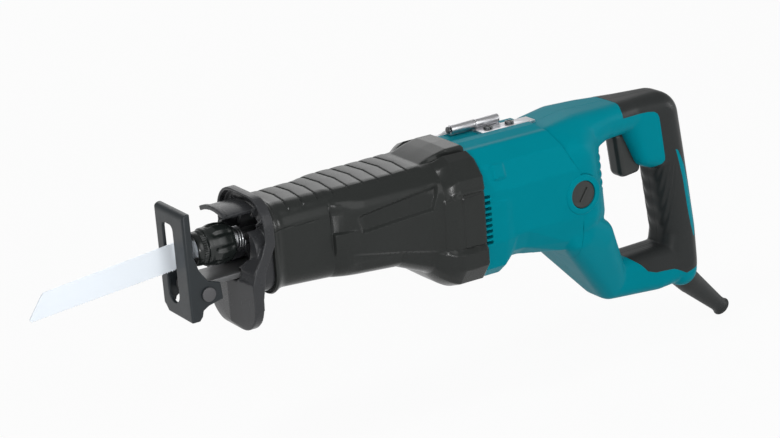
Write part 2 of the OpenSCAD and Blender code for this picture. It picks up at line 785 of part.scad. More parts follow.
module cooling_fan() {
  blade_count = 10;
  color([0.15, 0.15, 0.16]) place() {
    shaft_ring(fan_front - 10, fan_front - 8, stator_r - 3);
    shaft_ring(fan_front - 8, fan_front, shaft_r + 4);
    translate([0, 0, motor_z]) for (i = [0 : blade_count - 1])
      rotate([360 / blade_count * i, 0, 0])
        block([fan_front - 8, -0.7, 14], [fan_front, 0.7, stator_r - 4]);
  }
}
module front_bearing() {
  color([0.66, 0.67, 0.68]) place()
    translate([front_bearing_x - bearing_len, 0, motor_z]) rotate([0, 90, 0])
      ball_bearing(bearing_len, shaft_r + run_gap, bearing_front_r);
}
module rear_bearing() {
  color([0.66, 0.67, 0.68]) place()
    translate([spigot_back + 4, 0, motor_z]) rotate([0, 90, 0])
      ball_bearing(bearing_len, shaft_r + run_gap, bearing_back_r);
}

// Fixed motor pieces in the housing's bore
module fan_baffle() {
  color([0.2, 0.2, 0.21]) place() difference() {
    rod_x(stator_front + 7.5, stator_front + 9.5, stator_r, motor_z);
    rod_x(stator_front + 6, stator_front + 11, core_r + 2, motor_z);
  }
}
module stator_core() {
  color([0.4, 0.41, 0.43]) place() difference() {
    rod_x(stator_back, stator_front, stator_r, motor_z);
    rod_x(stator_back - 1, stator_front + 1, core_r + air_gap, motor_z);
  }
}
module field_coils() {
  color([0.7, 0.36, 0.18]) place() for (x = [stator_front, stator_back - 7])
    difference() {
      rod_x(x, x + 7, stator_r - 2, motor_z);
      rod_x(x - 1, x + 8, core_r + 2, motor_z);
    }
}

// Motor housing: faceted barrel with a deeper front edge, brush bosses and a rear spigot
motor_section = [for (side = [1, -1]) each
  let (s = [[motor_hw - 17, -60], [motor_hw - 6, -52], [motor_hw, -38], [motor_hw, -2],
    [motor_hw - 6, 17], [motor_hw - 18, roof_z]])
    side > 0 ? s : [for (i = [len(s) - 1 : -1 : 0]) [-s[i][0], s[i][1]]]];
front_section = [for (side = [1, -1]) each
  let (s = [[27, -68.5], [37, -60], [motor_hw + 1, -40], [motor_hw + 1, -10]])
    side > 0 ? s : [for (i = [len(s) - 1 : -1 : 0]) [-s[i][0], s[i][1]]]];
seam_line = [
  [seam_top, 60], [seam_top, roof_z + 4], [seam_top - 4, 22], [brush_x + 5, 1],
  [brush_x, -9], [brush_x, -56], [brush_x + 8, -90]
];
module brush_bosses(r, y1) {
  for (side = [0, 1]) mirror([0, side, 0])
    rod_y(y1, boss_y, r, brush_x, motor_z);
}
module motor_housing() {
  color([0.0, 0.46, 0.51]) place() difference() {
    union() {
      intersection() {
        along_x(brush_x - 5, part_x, motor_section);
        across_y(60, concat([[part_x, 60]], seam_line, [[part_x, -90]]));
      }
      intersection() {
        along_x(part_x - 40, part_x, front_section);
        across_y(60, [[part_x, -5], [part_x, -90], [part_x - 20, -90], [part_x - 20, -68.5],
                      [part_x - 26, -60], [part_x - 30, -40]]);
      }
      rod_x(spigot_back, bore_back, spigot_r, motor_z);
      brush_bosses(boss_r, 24);
    }
    rod_x(bore_back, part_x + 1, stator_r, motor_z);
    rod_x(spigot_back + 12, bore_back + 1, spigot_in_r, motor_z);
    rod_x(spigot_back + 4, spigot_back + 13, bearing_back_r, motor_z);
    brush_bosses(holder_r, 20);
    for (side = [-1, 1]) mirror([0, side < 0 ? 1 : 0, 0])
      rod_y(boss_y - cap_head, boss_y + 1, cap_r + 0.15, brush_x, motor_z);
    for (side = [-1, 1]) for (i = [0 : vent_count - 1])
      translate([part_x, side * motor_hw, -4 - 34 * i / (vent_count - 1)])
        cube([13, 16, 2], center = true);
    for (i = [0, 1])
      translate([base_back + 19 + i * hook_screw_pitch, hook_screw_y, roof_z - 9])
        cylinder(h = 10, r = shank_r);
  }
}

// Brush gear: holder, carbon, spring and slotted cap on each side
module both_sides() {
  children();
  mirror([0, 1, 0]) children();
}
module brush_holders() {
  color([0.75, 0.6, 0.3]) place() both_sides() difference() {
    rod_y(holder_in, holder_out, holder_r, brush_x, motor_z);
    block([brush_x - brush_w / 2, holder_in - 1, motor_z - brush_h / 2],
          [brush_x + brush_w / 2, holder_out + 1, motor_z + brush_h / 2]);
  }
}
module carbon_brushes() {
  color([0.13, 0.13, 0.14]) place() both_sides()
    block([brush_x - brush_w / 2, commutator_r + 0.1, motor_z - brush_h / 2],
          [brush_x + brush_w / 2, brush_out, motor_z + brush_h / 2]);
}
module brush_springs() {
  color([0.66, 0.66, 0.68]) place() both_sides()
    translate([brush_x, brush_out + brush_wire - 0.1, motor_z]) rotate([-90, 0, 0])
      coil(2.2, brush_spring_pitch, brush_wire, brush_turns);
}
module brush_cap() {
  difference() {
    union() {
      rod_y(holder_out, boss_y - cap_head, holder_r, brush_x, motor_z);
      rod_y(boss_y - cap_head, boss_y - 0.6, cap_r, brush_x, motor_z);
    }
    translate([brush_x, boss_y, motor_z]) rotate([0, 20, 0]) cube([1.8, 4, 12], center = true);
  }
}
module brush_cap_left() {
  color([0.2, 0.2, 0.21]) place() brush_cap();
}
module brush_cap_right() {
  color([0.2, 0.2, 0.21]) place() mirror([0, 1, 0]) brush_cap();
}

// Handle: round pucks joined in pairs make the loop
module puck(p, less = 0) {
  r = p[2] - less;
  hw = p[3] - less;
  e = min(p[4] == undef ? puck_edge : p[4], r - 2, hw - 1);
  translate([p[0], 0, p[1]]) rotate([90, 0, 0]) rotate_extrude($fn = 24) polygon(concat(
    [[0, -hw]],
    [for (a = [-90 : 30 : 0]) [r - e + e * cos(a), -hw + e + e * sin(a)]],
    [for (a = [0 : 30 : 90]) [r - e + e * cos(a), hw - e + e * sin(a)]],
    [[0, hw]]
  ));
}
module link(pucks, less = 0) {
  hull() for (p = pucks) puck(p, less);
}
module handle_loop() {
  link([rear_upper, rear_lower, wall_upper, wall_lower]);
  link([wall_upper, top_front]);
  link([top_front, top_back]);
  link([top_back, corner, bay_low, grip_top]);
  link([grip_top, grip_low]);
  link([grip_low, heel, heel_drop]);
  link([heel, low_back, low_front]);
  link([low_front, strut_top, strut_wall]);
}
module handle_core() {
  link([top_front, top_back], rubber_t);
  link([top_back, corner, bay_low, grip_top], rubber_t);
  link([grip_top, grip_low], rubber_t);
  link([grip_low, heel], rubber_t);
  link([heel, low_back], rubber_t);
}
// Side outline of the rubber, with the bare panel round the trigger left out
module rubber_region() {
  panel = [
    [bay_front + 20, 20.6], [back_x + 42, 19], [back_x + 39, 15.5], [back_x + 33, -22],
    [back_x + 35.5, -24.3], [back_x + 59.6, -33.7], [bay_front + 20, -34.9]
  ];
  stripe = [
    [back_x + 23.5, -16.5], [back_x + 17, -31], [back_x + 12, -49], [back_x + 8.4, -68],
    [back_x + 9.5, -88], [back_x + 12.4, -90], [back_x + 13.4, -67], [back_x + 17.5, -40]
  ];
  difference() {
    across_y(60, [
      [rubber_front + 16, 60], [rubber_front + 5, 30], [rubber_front + 2, 14],
      [rubber_front + 2, -36], [rubber_front - 14, -60], [rubber_front - 14, -96],
      [rubber_front - 16, -98], [rubber_front - 24, -108], [back_x + 38, -111],
      [back_x + 16, -119], [back_x + 5, -117], [back_x - 20, -112], [back_x - 20, 60]
    ]);
    across_y(61, panel);
    across_y(61, stripe);
  }
}
module handle_cuts() {
  across_y(60, concat([[part_x, 60]], seam_line, [[part_x, -90]]));
  rod_x(spigot_back - gap, bore_back + 20, spigot_r + gap, motor_z);
  brush_bosses(boss_r + gap, 10);
  block([switch_front, -trigger_hw - trigger_gap, -34],
        [bay_front + 30, trigger_hw + trigger_gap, 5.8]);
  block([switch_front - switch_len, -11, -24], [switch_front, 11, 5]);
  block([back_x + 20, -11, low_mid - 6], [back_x + 38, 11, low_mid + 6]);
  translate([guard_x, 0, guard_z]) rotate([0, 90 - guard_angle, 0]) {
    translate([0, 0, -30]) cylinder(h = 30 + guard_inner + gap, r = guard_root_r + gap);
    translate([0, 0, guard_inner - 4]) cylinder(h = 4 + gap, r = guard_root_r + 2.3);
    translate([0, 0, guard_inner]) cylinder(h = 12, r = cord_bore_r);
  }
  for (s = screw_places) {
    rod_y(-60, -s[2] + gap, head_screw_r + gap, s[0], s[1], $fn = 20);
    rod_y(-60, 10, shank_r + gap, s[0], s[1], $fn = 20);
  }
}
module side_half(side) {
  intersection() {
    children();
    translate([back_x - 50, side > 0 ? 0 : -100, low_z]) cube([400, 100, 300]);
  }
}
module handle_half(side) {
  side_half(side) difference() {
    union() {
      difference() {
        handle_loop();
        rubber_region();
      }
      handle_core();
    }
    handle_cuts();
  }
}
module handle_left() {
  color([0.0, 0.46, 0.51]) place() handle_half(1);
}
module handle_right() {
  color([0.0, 0.46, 0.51]) place() handle_half(-1);
}
module grip_half(side) {
  side_half(side) difference() {
    intersection() {
      handle_loop();
      rubber_region();
    }
    handle_core();
    handle_cuts();
  }
}
module grip_rubber_left() {
  color([0.21, 0.22, 0.22]) place() grip_half(1);
}
module grip_rubber_right() {
  color([0.21, 0.22, 0.22]) place() grip_half(-1);
}
module handle_screws() {
  color([0.35, 0.35, 0.36]) place() for (s = screw_places)
    difference() {
      union() {
        rod_y(-s[2] - 2.6, -s[2] + gap, head_screw_r, s[0], s[1]);
        rod_y(-s[2], 9, shank_r, s[0], s[1]);
      }
      rod_y(-s[2] - 3, -s[2] - 1, 1.8, s[0], s[1], $fn = 6);
    }
}

// Trigger, drawn at rest, and the switch behind it
module trigger() {
  color([0.19, 0.2, 0.2]) place() difference() {
    hull() for (p = trigger_corners)
      rod_y(-trigger_hw, trigger_hw, p[2], p[0], p[1], $fn = 32);
    rod_y(-trigger_hw - 1, trigger_hw + 1, 26, bay_front + 32, -12);
  }
}
module switch_body() {
  color([0.12, 0.12, 0.13]) place() block([switch_front - switch_len, -11, -24], [switch_front, 11, 5]);
}

// Cord guard with an open bore, and the clamp that holds the cord inside the handle
module cord_guard() {
  color([0.2, 0.2, 0.21]) place() translate([guard_x, 0, guard_z]) rotate([0, 90 - guard_angle, 0])
    rotate_extrude() polygon([
      [cord_bore_r, -guard_len], [guard_tip_r, -guard_len], [guard_root_r, 0],
      [guard_root_r, guard_inner - 4], [guard_root_r + 2, guard_inner - 4],
      [guard_root_r + 2, guard_inner], [cord_bore_r, guard_inner]
    ]);
}
module cord_clamp() {
  color([0.25, 0.25, 0.26]) place() difference() {
    block([back_x + 26, -11, low_mid - 6], [back_x + 34, 11, low_mid - 2]);
    for (y = [-7, 7])
      translate([back_x + 30, y, low_mid - 7]) cylinder(h = 8, r = 1.6);
  }
}
module cord_clamp_screws() {
  color([0.6, 0.6, 0.62]) place() for (y = [-7, 7]) {
    translate([back_x + 30, y, low_mid - 6]) cylinder(h = 4, r = 1.6);
    translate([back_x + 30, y, low_mid - 2]) cylinder(h = 2, r = 3);
  }
}

// Folding hook on the motor housing: base plate, hook, hinge pin and two screws
module hook_base() {
  color([0.68, 0.68, 0.7]) place() difference() {
    union() {
      block([base_back, base_far, roof_z], [base_front, base_near, roof_z + base_t]);
      block([barrel_back, barrel_y, roof_z], [barrel_split - gap / 2, base_near, roof_z + base_t]);
      rod_x(barrel_back, barrel_split - gap / 2, barrel_r, barrel_z, barrel_y);
    }
    rod_x(barrel_back - 1, barrel_split + 1, pin_r, barrel_z, barrel_y);
    for (i = [0, 1])
      translate([base_back + 19 + i * hook_screw_pitch, hook_screw_y, roof_z - 1])
        cylinder(h = 5, r = shank_r);
  }
}
module hook() {
  color([0.68, 0.68, 0.7]) place() difference() {
    union() {
      rod_x(barrel_split + gap / 2, barrel_front, barrel_r, barrel_z, barrel_y);
      translate([barrel_split + gap / 2, 0, 0]) rotate([90, 0, 90])
        linear_extrude(barrel_front - barrel_split - gap / 2) polygon([
          [barrel_y, roof_z + 0.6 + hook_t], [-motor_hw + 18, roof_z + 0.6 + hook_t],
          [-motor_hw + 5, 20 + hook_t], [-motor_hw - 1, 20 + hook_t], [-motor_hw - 1, 20],
          [-motor_hw + 4, 20], [-motor_hw + 17, roof_z + 0.6], [barrel_y, roof_z + 0.6]
        ]);
    }
    rod_x(barrel_split - 1, barrel_front + 1, pin_r + run_gap, barrel_z, barrel_y);
  }
}
module hook_pin() {
  color([0.3, 0.3, 0.31]) place() {
    rod_x(barrel_back, barrel_front + 1, pin_r, barrel_z, barrel_y);
    rod_x(barrel_front + 1, barrel_front + 2.4, pin_r + 1, barrel_z, barrel_y);
  }
}
module hook_screws() {
  color([0.3, 0.3, 0.31]) place() for (i = [0, 1])
    translate([base_back + 19 + i * hook_screw_pitch, hook_screw_y, 0]) difference() {
      union() {
        translate([0, 0, roof_z - 8]) cylinder(h = 8 + base_t, r = shank_r);
        translate([0, 0, roof_z + base_t]) cylinder(h = 1.8, r = 3.4);
      }
      translate([0, 0, roof_z + base_t + 1.2]) cube([0.9, 9, 2], center = true);
      translate([0, 0, roof_z + base_t + 1.2]) cube([9, 0.9, 2], center = true);
    }
}

blade();
blade_clamp_sleeve();
clamp_spring();
clamp_lock_pin();
plunger();
plunger_bushes();
plunger_seal();
shoe();
shoe_pivot_pin();
shoe_bar();
shoe_bar_screws();
nose_guard();
front_cover();
gear_housing();
gear_cover_plate();
gear_cover_screws();
crank_gear();
crank_pin();
crank_roller();
crank_bearing();
armature_shaft();
armature_core();
armature_windings();
commutator();
cooling_fan();
front_bearing();
rear_bearing();
fan_baffle();
stator_core();
field_coils();
motor_housing();
brush_holders();
carbon_brushes();
brush_springs();
brush_cap_left();
brush_cap_right();
handle_left();
handle_right();
grip_rubber_left();
grip_rubber_right();
handle_screws();
trigger();
switch_body();
cord_guard();
cord_clamp();
cord_clamp_screws();
hook_base();
hook();
hook_pin();
hook_screws();
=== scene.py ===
"""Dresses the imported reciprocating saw: moulded shells, rubber, steel front end and a plain studio."""

import math
from contextlib import contextmanager

import bmesh
import bpy
import numpy as np
from mathutils import Matrix, Vector


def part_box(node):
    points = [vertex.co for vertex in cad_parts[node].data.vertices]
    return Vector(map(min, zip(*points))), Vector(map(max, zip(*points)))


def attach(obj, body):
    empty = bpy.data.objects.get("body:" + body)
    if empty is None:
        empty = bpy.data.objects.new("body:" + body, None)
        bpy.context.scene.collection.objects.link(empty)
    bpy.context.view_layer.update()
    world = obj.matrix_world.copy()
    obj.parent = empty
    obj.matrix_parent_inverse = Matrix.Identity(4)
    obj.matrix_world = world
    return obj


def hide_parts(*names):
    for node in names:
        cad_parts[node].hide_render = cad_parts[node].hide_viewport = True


bl_info = {
    "name": "Reciprocating saw dressing",
    "version": (1, 0, 0),
    "blender": (4, 5, 0),
    "location": "View3D > Sidebar > Saw",
    "description": "Builds the visible pieces of a corded reciprocating saw round its packed frame",
    "category": "Object",
}

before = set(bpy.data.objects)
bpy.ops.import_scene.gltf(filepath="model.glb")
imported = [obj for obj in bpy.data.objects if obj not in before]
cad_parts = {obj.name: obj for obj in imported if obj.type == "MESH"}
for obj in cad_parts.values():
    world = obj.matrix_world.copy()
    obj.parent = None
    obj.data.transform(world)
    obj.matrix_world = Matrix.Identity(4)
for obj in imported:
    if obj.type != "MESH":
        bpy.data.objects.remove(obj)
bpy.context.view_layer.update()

# The tool frame: millimetres, X forward from the shoe face, Y to the left, Z up from the stroke axis
MM = 0.001
SLEEVE_LOW, SLEEVE_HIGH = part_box("blade_clamp_sleeve")
ORIGIN = np.array([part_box("shoe")[1][0], 0.0, 0.5 * (SLEEVE_LOW[2] + SLEEVE_HIGH[2])])


def tool_box(name):
    """The low and the high corner of a CAD node in the tool frame, to a thousandth of a millimetre."""
    return [np.round((np.array(corner) - ORIGIN) / MM, 3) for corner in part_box(name)]


# Places that several pieces share, and how far a cut through the whole width reaches
BRUSH_X, _, MOTOR_Z = np.mean(tool_box("carbon_brushes"), axis=0)
(PART_X, _, _), (COVER_X, _, _) = tool_box("front_cover")
BACK_X = tool_box("grip_rubber_left")[0][0]
THROUGH = 80.0


# Mesh tools

def ramp(low, high, value):
    """0 at low, 1 at high, straight between; low may be above high."""
    return np.clip((np.asarray(value, float) - low) / (high - low), 0.0, 1.0)


def smoothstep(low, high, value):
    """0 at low, 1 at high, with soft ends; low may be above high."""
    t = ramp(low, high, value)
    return t * t * (3.0 - 2.0 * t)


def bump_at(distance, width):
    """1 where the distance is 0, falling off like a bell within the width."""
    return np.exp(-(distance / width) ** 2)


def add_object(name, data):
    """A new object in the scene for a mesh, lamp or camera."""
    obj = bpy.data.objects.new(name, data)
    bpy.context.scene.collection.objects.link(obj)
    return obj


@contextmanager
def edited(mesh):
    """A bmesh of a mesh that is written back afterwards."""
    bm = bmesh.new()
    bm.from_mesh(mesh)
    yield bm
    bm.to_mesh(mesh)
    bm.free()


def solid(name, points, faces):
    """A new object from tool-frame points in millimetres, with its faces turned outward."""
    mesh = bpy.data.meshes.new(name)
    mesh.from_pydata((np.asarray(points, float) * MM + ORIGIN).tolist(), [], faces)
    with edited(mesh) as bm:
        bmesh.ops.recalc_face_normals(bm, faces=bm.faces)
    return add_object(name, mesh)


def discard(obj):
    """Removes a helper object with its mesh."""
    mesh = obj.data
    bpy.data.objects.remove(obj)
    bpy.data.meshes.remove(mesh)


def bake(obj):
    """Turns an object's modifiers into its mesh."""
    bpy.context.view_layer.update()
    graph = bpy.context.evaluated_depsgraph_get()
    mesh = bpy.data.meshes.new_from_object(obj.evaluated_get(graph), depsgraph=graph)
    old, obj.data = obj.data, mesh
    obj.modifiers.clear()
    bpy.data.meshes.remove(old)
    return obj


def carve(obj, tool, operation="DIFFERENCE", keep=False):
    """Cuts, keeps or adds a tool shape, which is then removed unless it is kept."""
    step = obj.modifiers.new("carve", "BOOLEAN")
    step.operation = operation
    step.solver = "MANIFOLD"
    step.object = tool
    bake(obj)
    if not keep:
        discard(tool)
    return obj


def bevel(obj, width, segments, angle=30.0):
    """Breaks the edges that are sharper than an angle in degrees by a bevel in mm."""
    edge = obj.modifiers.new("edge", "BEVEL")
    edge.width = width * MM
    edge.segments = segments
    edge.limit_method = "ANGLE"
    edge.angle_limit = math.radians(angle)
    return bake(obj)


def soften(obj, grain, passes):
    """Unites overlapping shells on a grid of the given size in mm and rounds their edges."""
    remesh = obj.modifiers.new("unite", "REMESH")
    remesh.mode = "VOXEL"
    remesh.voxel_size = grain * MM
    smooth = obj.modifiers.new("round", "SMOOTH")
    smooth.factor = 0.5
    smooth.iterations = passes
    return bake(obj)


def drop_slivers(obj):
    """Deletes the folded slivers that a cut can leave along an edge."""
    with edited(obj.data) as bm:
        bmesh.ops.triangulate(bm, faces=bm.faces)
        extra = set()
        for edge in bm.edges:
            if len(edge.link_faces) > 2:
                extra.update(sorted(edge.link_faces, key=lambda face: face.calc_area())[:-2])
        bmesh.ops.delete(bm, geom=list(extra), context="FACES")


def twin(obj, name):
    """A second object with its own copy of the mesh."""
    return add_object(name, obj.data.copy())


def join(name, objects):
    """One object that holds the meshes of several, which are removed."""
    mesh = bpy.data.meshes.new(name)
    with edited(mesh) as bm:
        for obj in objects:
            bm.from_mesh(obj.data)
    for obj in objects:
        discard(obj)
    return add_object(name, mesh)


def round_polygon(points, radius, steps):
    """A 2D outline with every corner replaced by a fillet that fits its sides."""
    nearly_straight, share_of_side = math.radians(176), 0.45
    out = []
    pts = [np.array(p, float) for p in points]
    for i, corner in enumerate(pts):
        before, after = pts[i - 1] - corner, pts[(i + 1) % len(pts)] - corner
        a, b = before / np.linalg.norm(before), after / np.linalg.norm(after)
        angle = math.acos(float(np.clip(np.dot(a, b), -1, 1)))
        if angle > nearly_straight:
            out.append(tuple(corner))
            continue
        room = share_of_side * min(np.linalg.norm(before), np.linalg.norm(after))
        reach = min(radius / math.tan(angle / 2), room)
        r = reach * math.tan(angle / 2)
        middle = (a + b) / np.linalg.norm(a + b)
        centre = corner + middle * (r / math.sin(angle / 2))
        start, end = corner + a * reach - centre, corner + b * reach - centre
        sweep = math.acos(float(np.clip(np.dot(start, end) / (r * r), -1, 1)))
        for k in range(steps + 1):
            t = k / steps
            mix = (math.sin((1 - t) * sweep) * start + math.sin(t * sweep) * end) / math.sin(sweep)
            out.append(tuple(centre + mix))
    return out


def rectangle(left, right, low, high):
    """The outline of a rectangle."""
    return [(left, low), (right, low), (right, high), (left, high)]


def circle(radius, steps, centre=(0.0, 0.0)):
    """The outline of a disc."""
    return [(centre[0] + radius * math.cos(2 * math.pi * i / steps),
             centre[1] + radius * math.sin(2 * math.pi * i / steps)) for i in range(steps)]


def both_sides(half):
    """A half outline of (y, z) and its mirror image as one loop."""
    return half + [(-y, z) for y, z in reversed(half)]


def rings(name, stack, closed=False):
    """Joins rings of points into a skin; a closed stack meets itself, an open one has capped ends."""
    rows, count = len(stack), len(stack[0])
    faces = [] if closed else [tuple(range(count)), tuple(range((rows - 1) * count, rows * count))]
    for i in range(rows if closed else rows - 1):
        here, there = i * count, (i + 1) % rows * count
        for k in range(count):
            after = (k + 1) % count
            faces.append((here + k, here + after, there + after, there + k))
    return solid(name, [p for ring in stack for p in ring], faces)


def on_axes(axis, a, b, along):
    """A tool-frame point from two outline coordinates and a place along the axis."""
    return {"x": (along, a, b), "y": (a, along, b), "z": (a, b, along)}[axis]


def prism(name, outline, axis, low, high):
    """A 2D outline drawn out between two places along an axis."""
    return rings(name, [[on_axes(axis, a, b, end) for a, b in outline] for end in (low, high)])


def side_prism(name, outline, sign, near, far):
    """An outline of (x, z) drawn out on one side of the middle plane: the left where the sign is 1."""
    return prism(name, outline, "y", *sorted((sign * near, sign * far)))


def block(name, low, high):
    """A box between two corners."""
    return prism(name, rectangle(low[0], high[0], low[1], high[1]), "z", low[2], high[2])


def hull(name, points):
    """The convex solid round a set of points."""
    bm = bmesh.new()
    for p in points:
        bm.verts.new(p)
    made = bmesh.ops.convex_hull(bm, input=bm.verts)
    left_over = made["geom_interior"] + made["geom_unused"]
    loose = list({v for v in left_over if isinstance(v, bmesh.types.BMVert)})
    bmesh.ops.delete(bm, geom=loose, context="VERTS")
    bm.verts.index_update()
    points = [v.co[:] for v in bm.verts]
    faces = [tuple(v.index for v in f.verts) for f in bm.faces]
    bm.free()
    return solid(name, points, faces)


def displace(obj, amount):
    """Moves each vertex along its normal by amount(x, y, z, normal) in millimetres."""
    mesh = obj.data
    count = len(mesh.vertices)
    place, normal = np.empty(count * 3), np.empty(count * 3)
    mesh.vertices.foreach_get("co", place)
    mesh.vertices.foreach_get("normal", normal)
    place, normal = place.reshape(-1, 3), normal.reshape(-1, 3)
    x, y, z = ((place - ORIGIN) / MM).T
    place = place + normal * (amount(x, y, z, normal) * MM)[:, None]
    mesh.vertices.foreach_set("co", place.ravel())
    mesh.update()
    return obj


def depth_inside(px, pz, outline):
    """Distance to an outline: positive inside it, negative outside."""
    inside = np.zeros(px.shape, bool)
    nearest = np.full(px.shape, np.inf)
    for i, (ax, az) in enumerate(outline):
        bx, bz = outline[(i + 1) % len(outline)]
        if az != bz:
            crossing = (pz < az) != (pz < bz)
            inside ^= crossing & (px < (bx - ax) * (pz - az) / (bz - az) + ax)
        length_squared = (bx - ax) ** 2 + (bz - az) ** 2
        t = np.clip(((px - ax) * (bx - ax) + (pz - az) * (bz - az)) / length_squared, 0, 1)
        nearest = np.minimum(nearest, np.hypot(px - ax - t * (bx - ax), pz - az - t * (bz - az)))
    return np.where(inside, nearest, -nearest)


def settle(obj, body, finish, sharp, nodes=()):
    """Gives a finished piece its finish, its body and the nodes it stands for."""
    obj.data.materials.clear()
    obj.data.materials.append(FINISHES[finish])
    obj.data.shade_smooth()
    obj.data.set_sharp_from_angle(angle=math.radians(sharp))
    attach(obj, body)
    if nodes:
        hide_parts(*nodes)


def eased_copy(source, name, width):
    """A copy of a CAD node with its edges broken by a bevel in mm, or as it is where the width is 0."""
    weld, flat, segments, sharp = 1e-6, math.radians(0.6), 3, 32.0
    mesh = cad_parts[source].data.copy()
    mesh.transform(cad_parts[source].matrix_world)
    with edited(mesh) as bm:
        bmesh.ops.remove_doubles(bm, verts=bm.verts, dist=weld)
        bmesh.ops.dissolve_limit(bm, angle_limit=flat, verts=bm.verts, edges=bm.edges)
    copy = add_object(name, mesh)
    return bevel(copy, width, segments, sharp) if width else copy


def dress_copies(rows):
    """Eased copies of CAD nodes, from rows of node, piece, bevel in mm, body, finish and slot."""
    for source, name, width, body, finish, slot in rows:
        settle(eased_copy(source, name, width), body, finish, sharp=35, nodes=[source])


# Finishes

FINISHES = {}
SURFACE_OUTPUTS = [
    ("NodeSocketColor", "Colour"),
    ("NodeSocketFloat", "Roughness"),
    ("NodeSocketFloat", "Height"),
]


def group_tree(name, inputs, outputs):
    """A shader node group with named sockets, given as (socket type, name, default)."""
    tree = bpy.data.node_groups.new(name, "ShaderNodeTree")
    for kind, label, default in inputs:
        socket = tree.interface.new_socket(label, in_out="INPUT", socket_type=kind)
        socket.default_value = default
    for kind, label in outputs:
        tree.interface.new_socket(label, in_out="OUTPUT", socket_type=kind)
    return tree


def node(tree, kind, **values):
    """A new node with the given attributes."""
    made = tree.nodes.new(kind)
    for key, value in values.items():
        setattr(made, key, value)
    return made


def feed(tree, value, socket):
    """Links an input to an output socket, or sets it to a plain value."""
    if isinstance(value, bpy.types.NodeSocket):
        tree.links.new(value, socket)
    else:
        socket.default_value = value


def math_node(tree, operation, *values):
    """The result of a Math node fed by sockets or numbers."""
    made = node(tree, "ShaderNodeMath", operation=operation)
    for value, socket in zip(values, made.inputs):
        feed(tree, value, socket)
    return made.outputs[0]


def noise(tree, where, scale, detail, rough):
    """A noise texture on given coordinates; scale may be a socket."""
    made = node(tree, "ShaderNodeTexNoise")
    for label, value in (("Vector", where), ("Scale", scale), ("Detail", detail), ("Roughness", rough)):
        feed(tree, value, made.inputs[label])
    return made.outputs["Fac"]


def mixed_colour(tree, factor, a, b, blend="MIX"):
    """A colour mix of two sockets by a factor, which may be a socket."""
    made = node(tree, "ShaderNodeMix", data_type="RGBA", blend_type=blend)
    feed(tree, factor, made.inputs["Factor"])
    for value, socket in zip((a, b), [s for s in made.inputs if s.type == "RGBA"]):
        feed(tree, value, socket)
    return [s for s in made.outputs if s.type == "RGBA"][0]


def edge_mask_group():
    """Where edges and corners stand proud: the mask that lightens them, partly for wear and partly as a
    painted highlight.
    """
    wear_and_highlight_starts, wear_and_highlight_full, patch_scale = 0.515, 0.60, 160.0
    tree = group_tree("edge_wear_and_highlight", [("NodeSocketFloat", "Amount", 0.5)], [("NodeSocketFloat", "Mask")])
    inlet, outlet = node(tree, "NodeGroupInput"), node(tree, "NodeGroupOutput")
    patches = noise(tree, node(tree, "ShaderNodeTexCoord").outputs["Object"], patch_scale, 4.0, 0.6)
    # Convex edges, found by pointiness and broken into patches, get lighter: partly wear, partly a painted
    # highlight.
    proud = node(tree, "ShaderNodeMapRange")
    feed(tree, node(tree, "ShaderNodeNewGeometry").outputs["Pointiness"], proud.inputs["Value"])
    feed(tree, wear_and_highlight_starts, proud.inputs["From Min"])
    feed(tree, wear_and_highlight_full, proud.inputs["From Max"])
    mask = math_node(tree, "MULTIPLY", proud.outputs["Result"], patches)
    mask = math_node(tree, "MULTIPLY", mask, inlet.outputs["Amount"])
    feed(tree, math_node(tree, "MINIMUM", mask, 1.0), outlet.inputs["Mask"])
    return tree


def mix_edge_wear_and_highlight(tree, edge_wear_and_highlight, inlet, base, worn_and_lit):
    """A colour with a second, lighter one on the proud edges, for wear and as a painted highlight."""
    wear_and_highlight = node(tree, "ShaderNodeGroup", node_tree=edge_wear_and_highlight)
    feed(tree, inlet.outputs["Wear And Highlight"], wear_and_highlight.inputs["Amount"])
    return mixed_colour(tree, wear_and_highlight.outputs["Mask"], base, worn_and_lit)


def put_out(tree, inlet, colour, uneven, height):
    """Feeds the outputs of a surface group; the unevenness spreads its roughness."""
    outlet = node(tree, "NodeGroupOutput")
    spread = math_node(tree, "MULTIPLY", uneven, inlet.outputs["Gloss Spread"])
    feed(tree, colour, outlet.inputs["Colour"])
    feed(tree, math_node(tree, "ADD", inlet.outputs["Roughness"], spread), outlet.inputs["Roughness"])
    feed(tree, height, outlet.inputs["Height"])


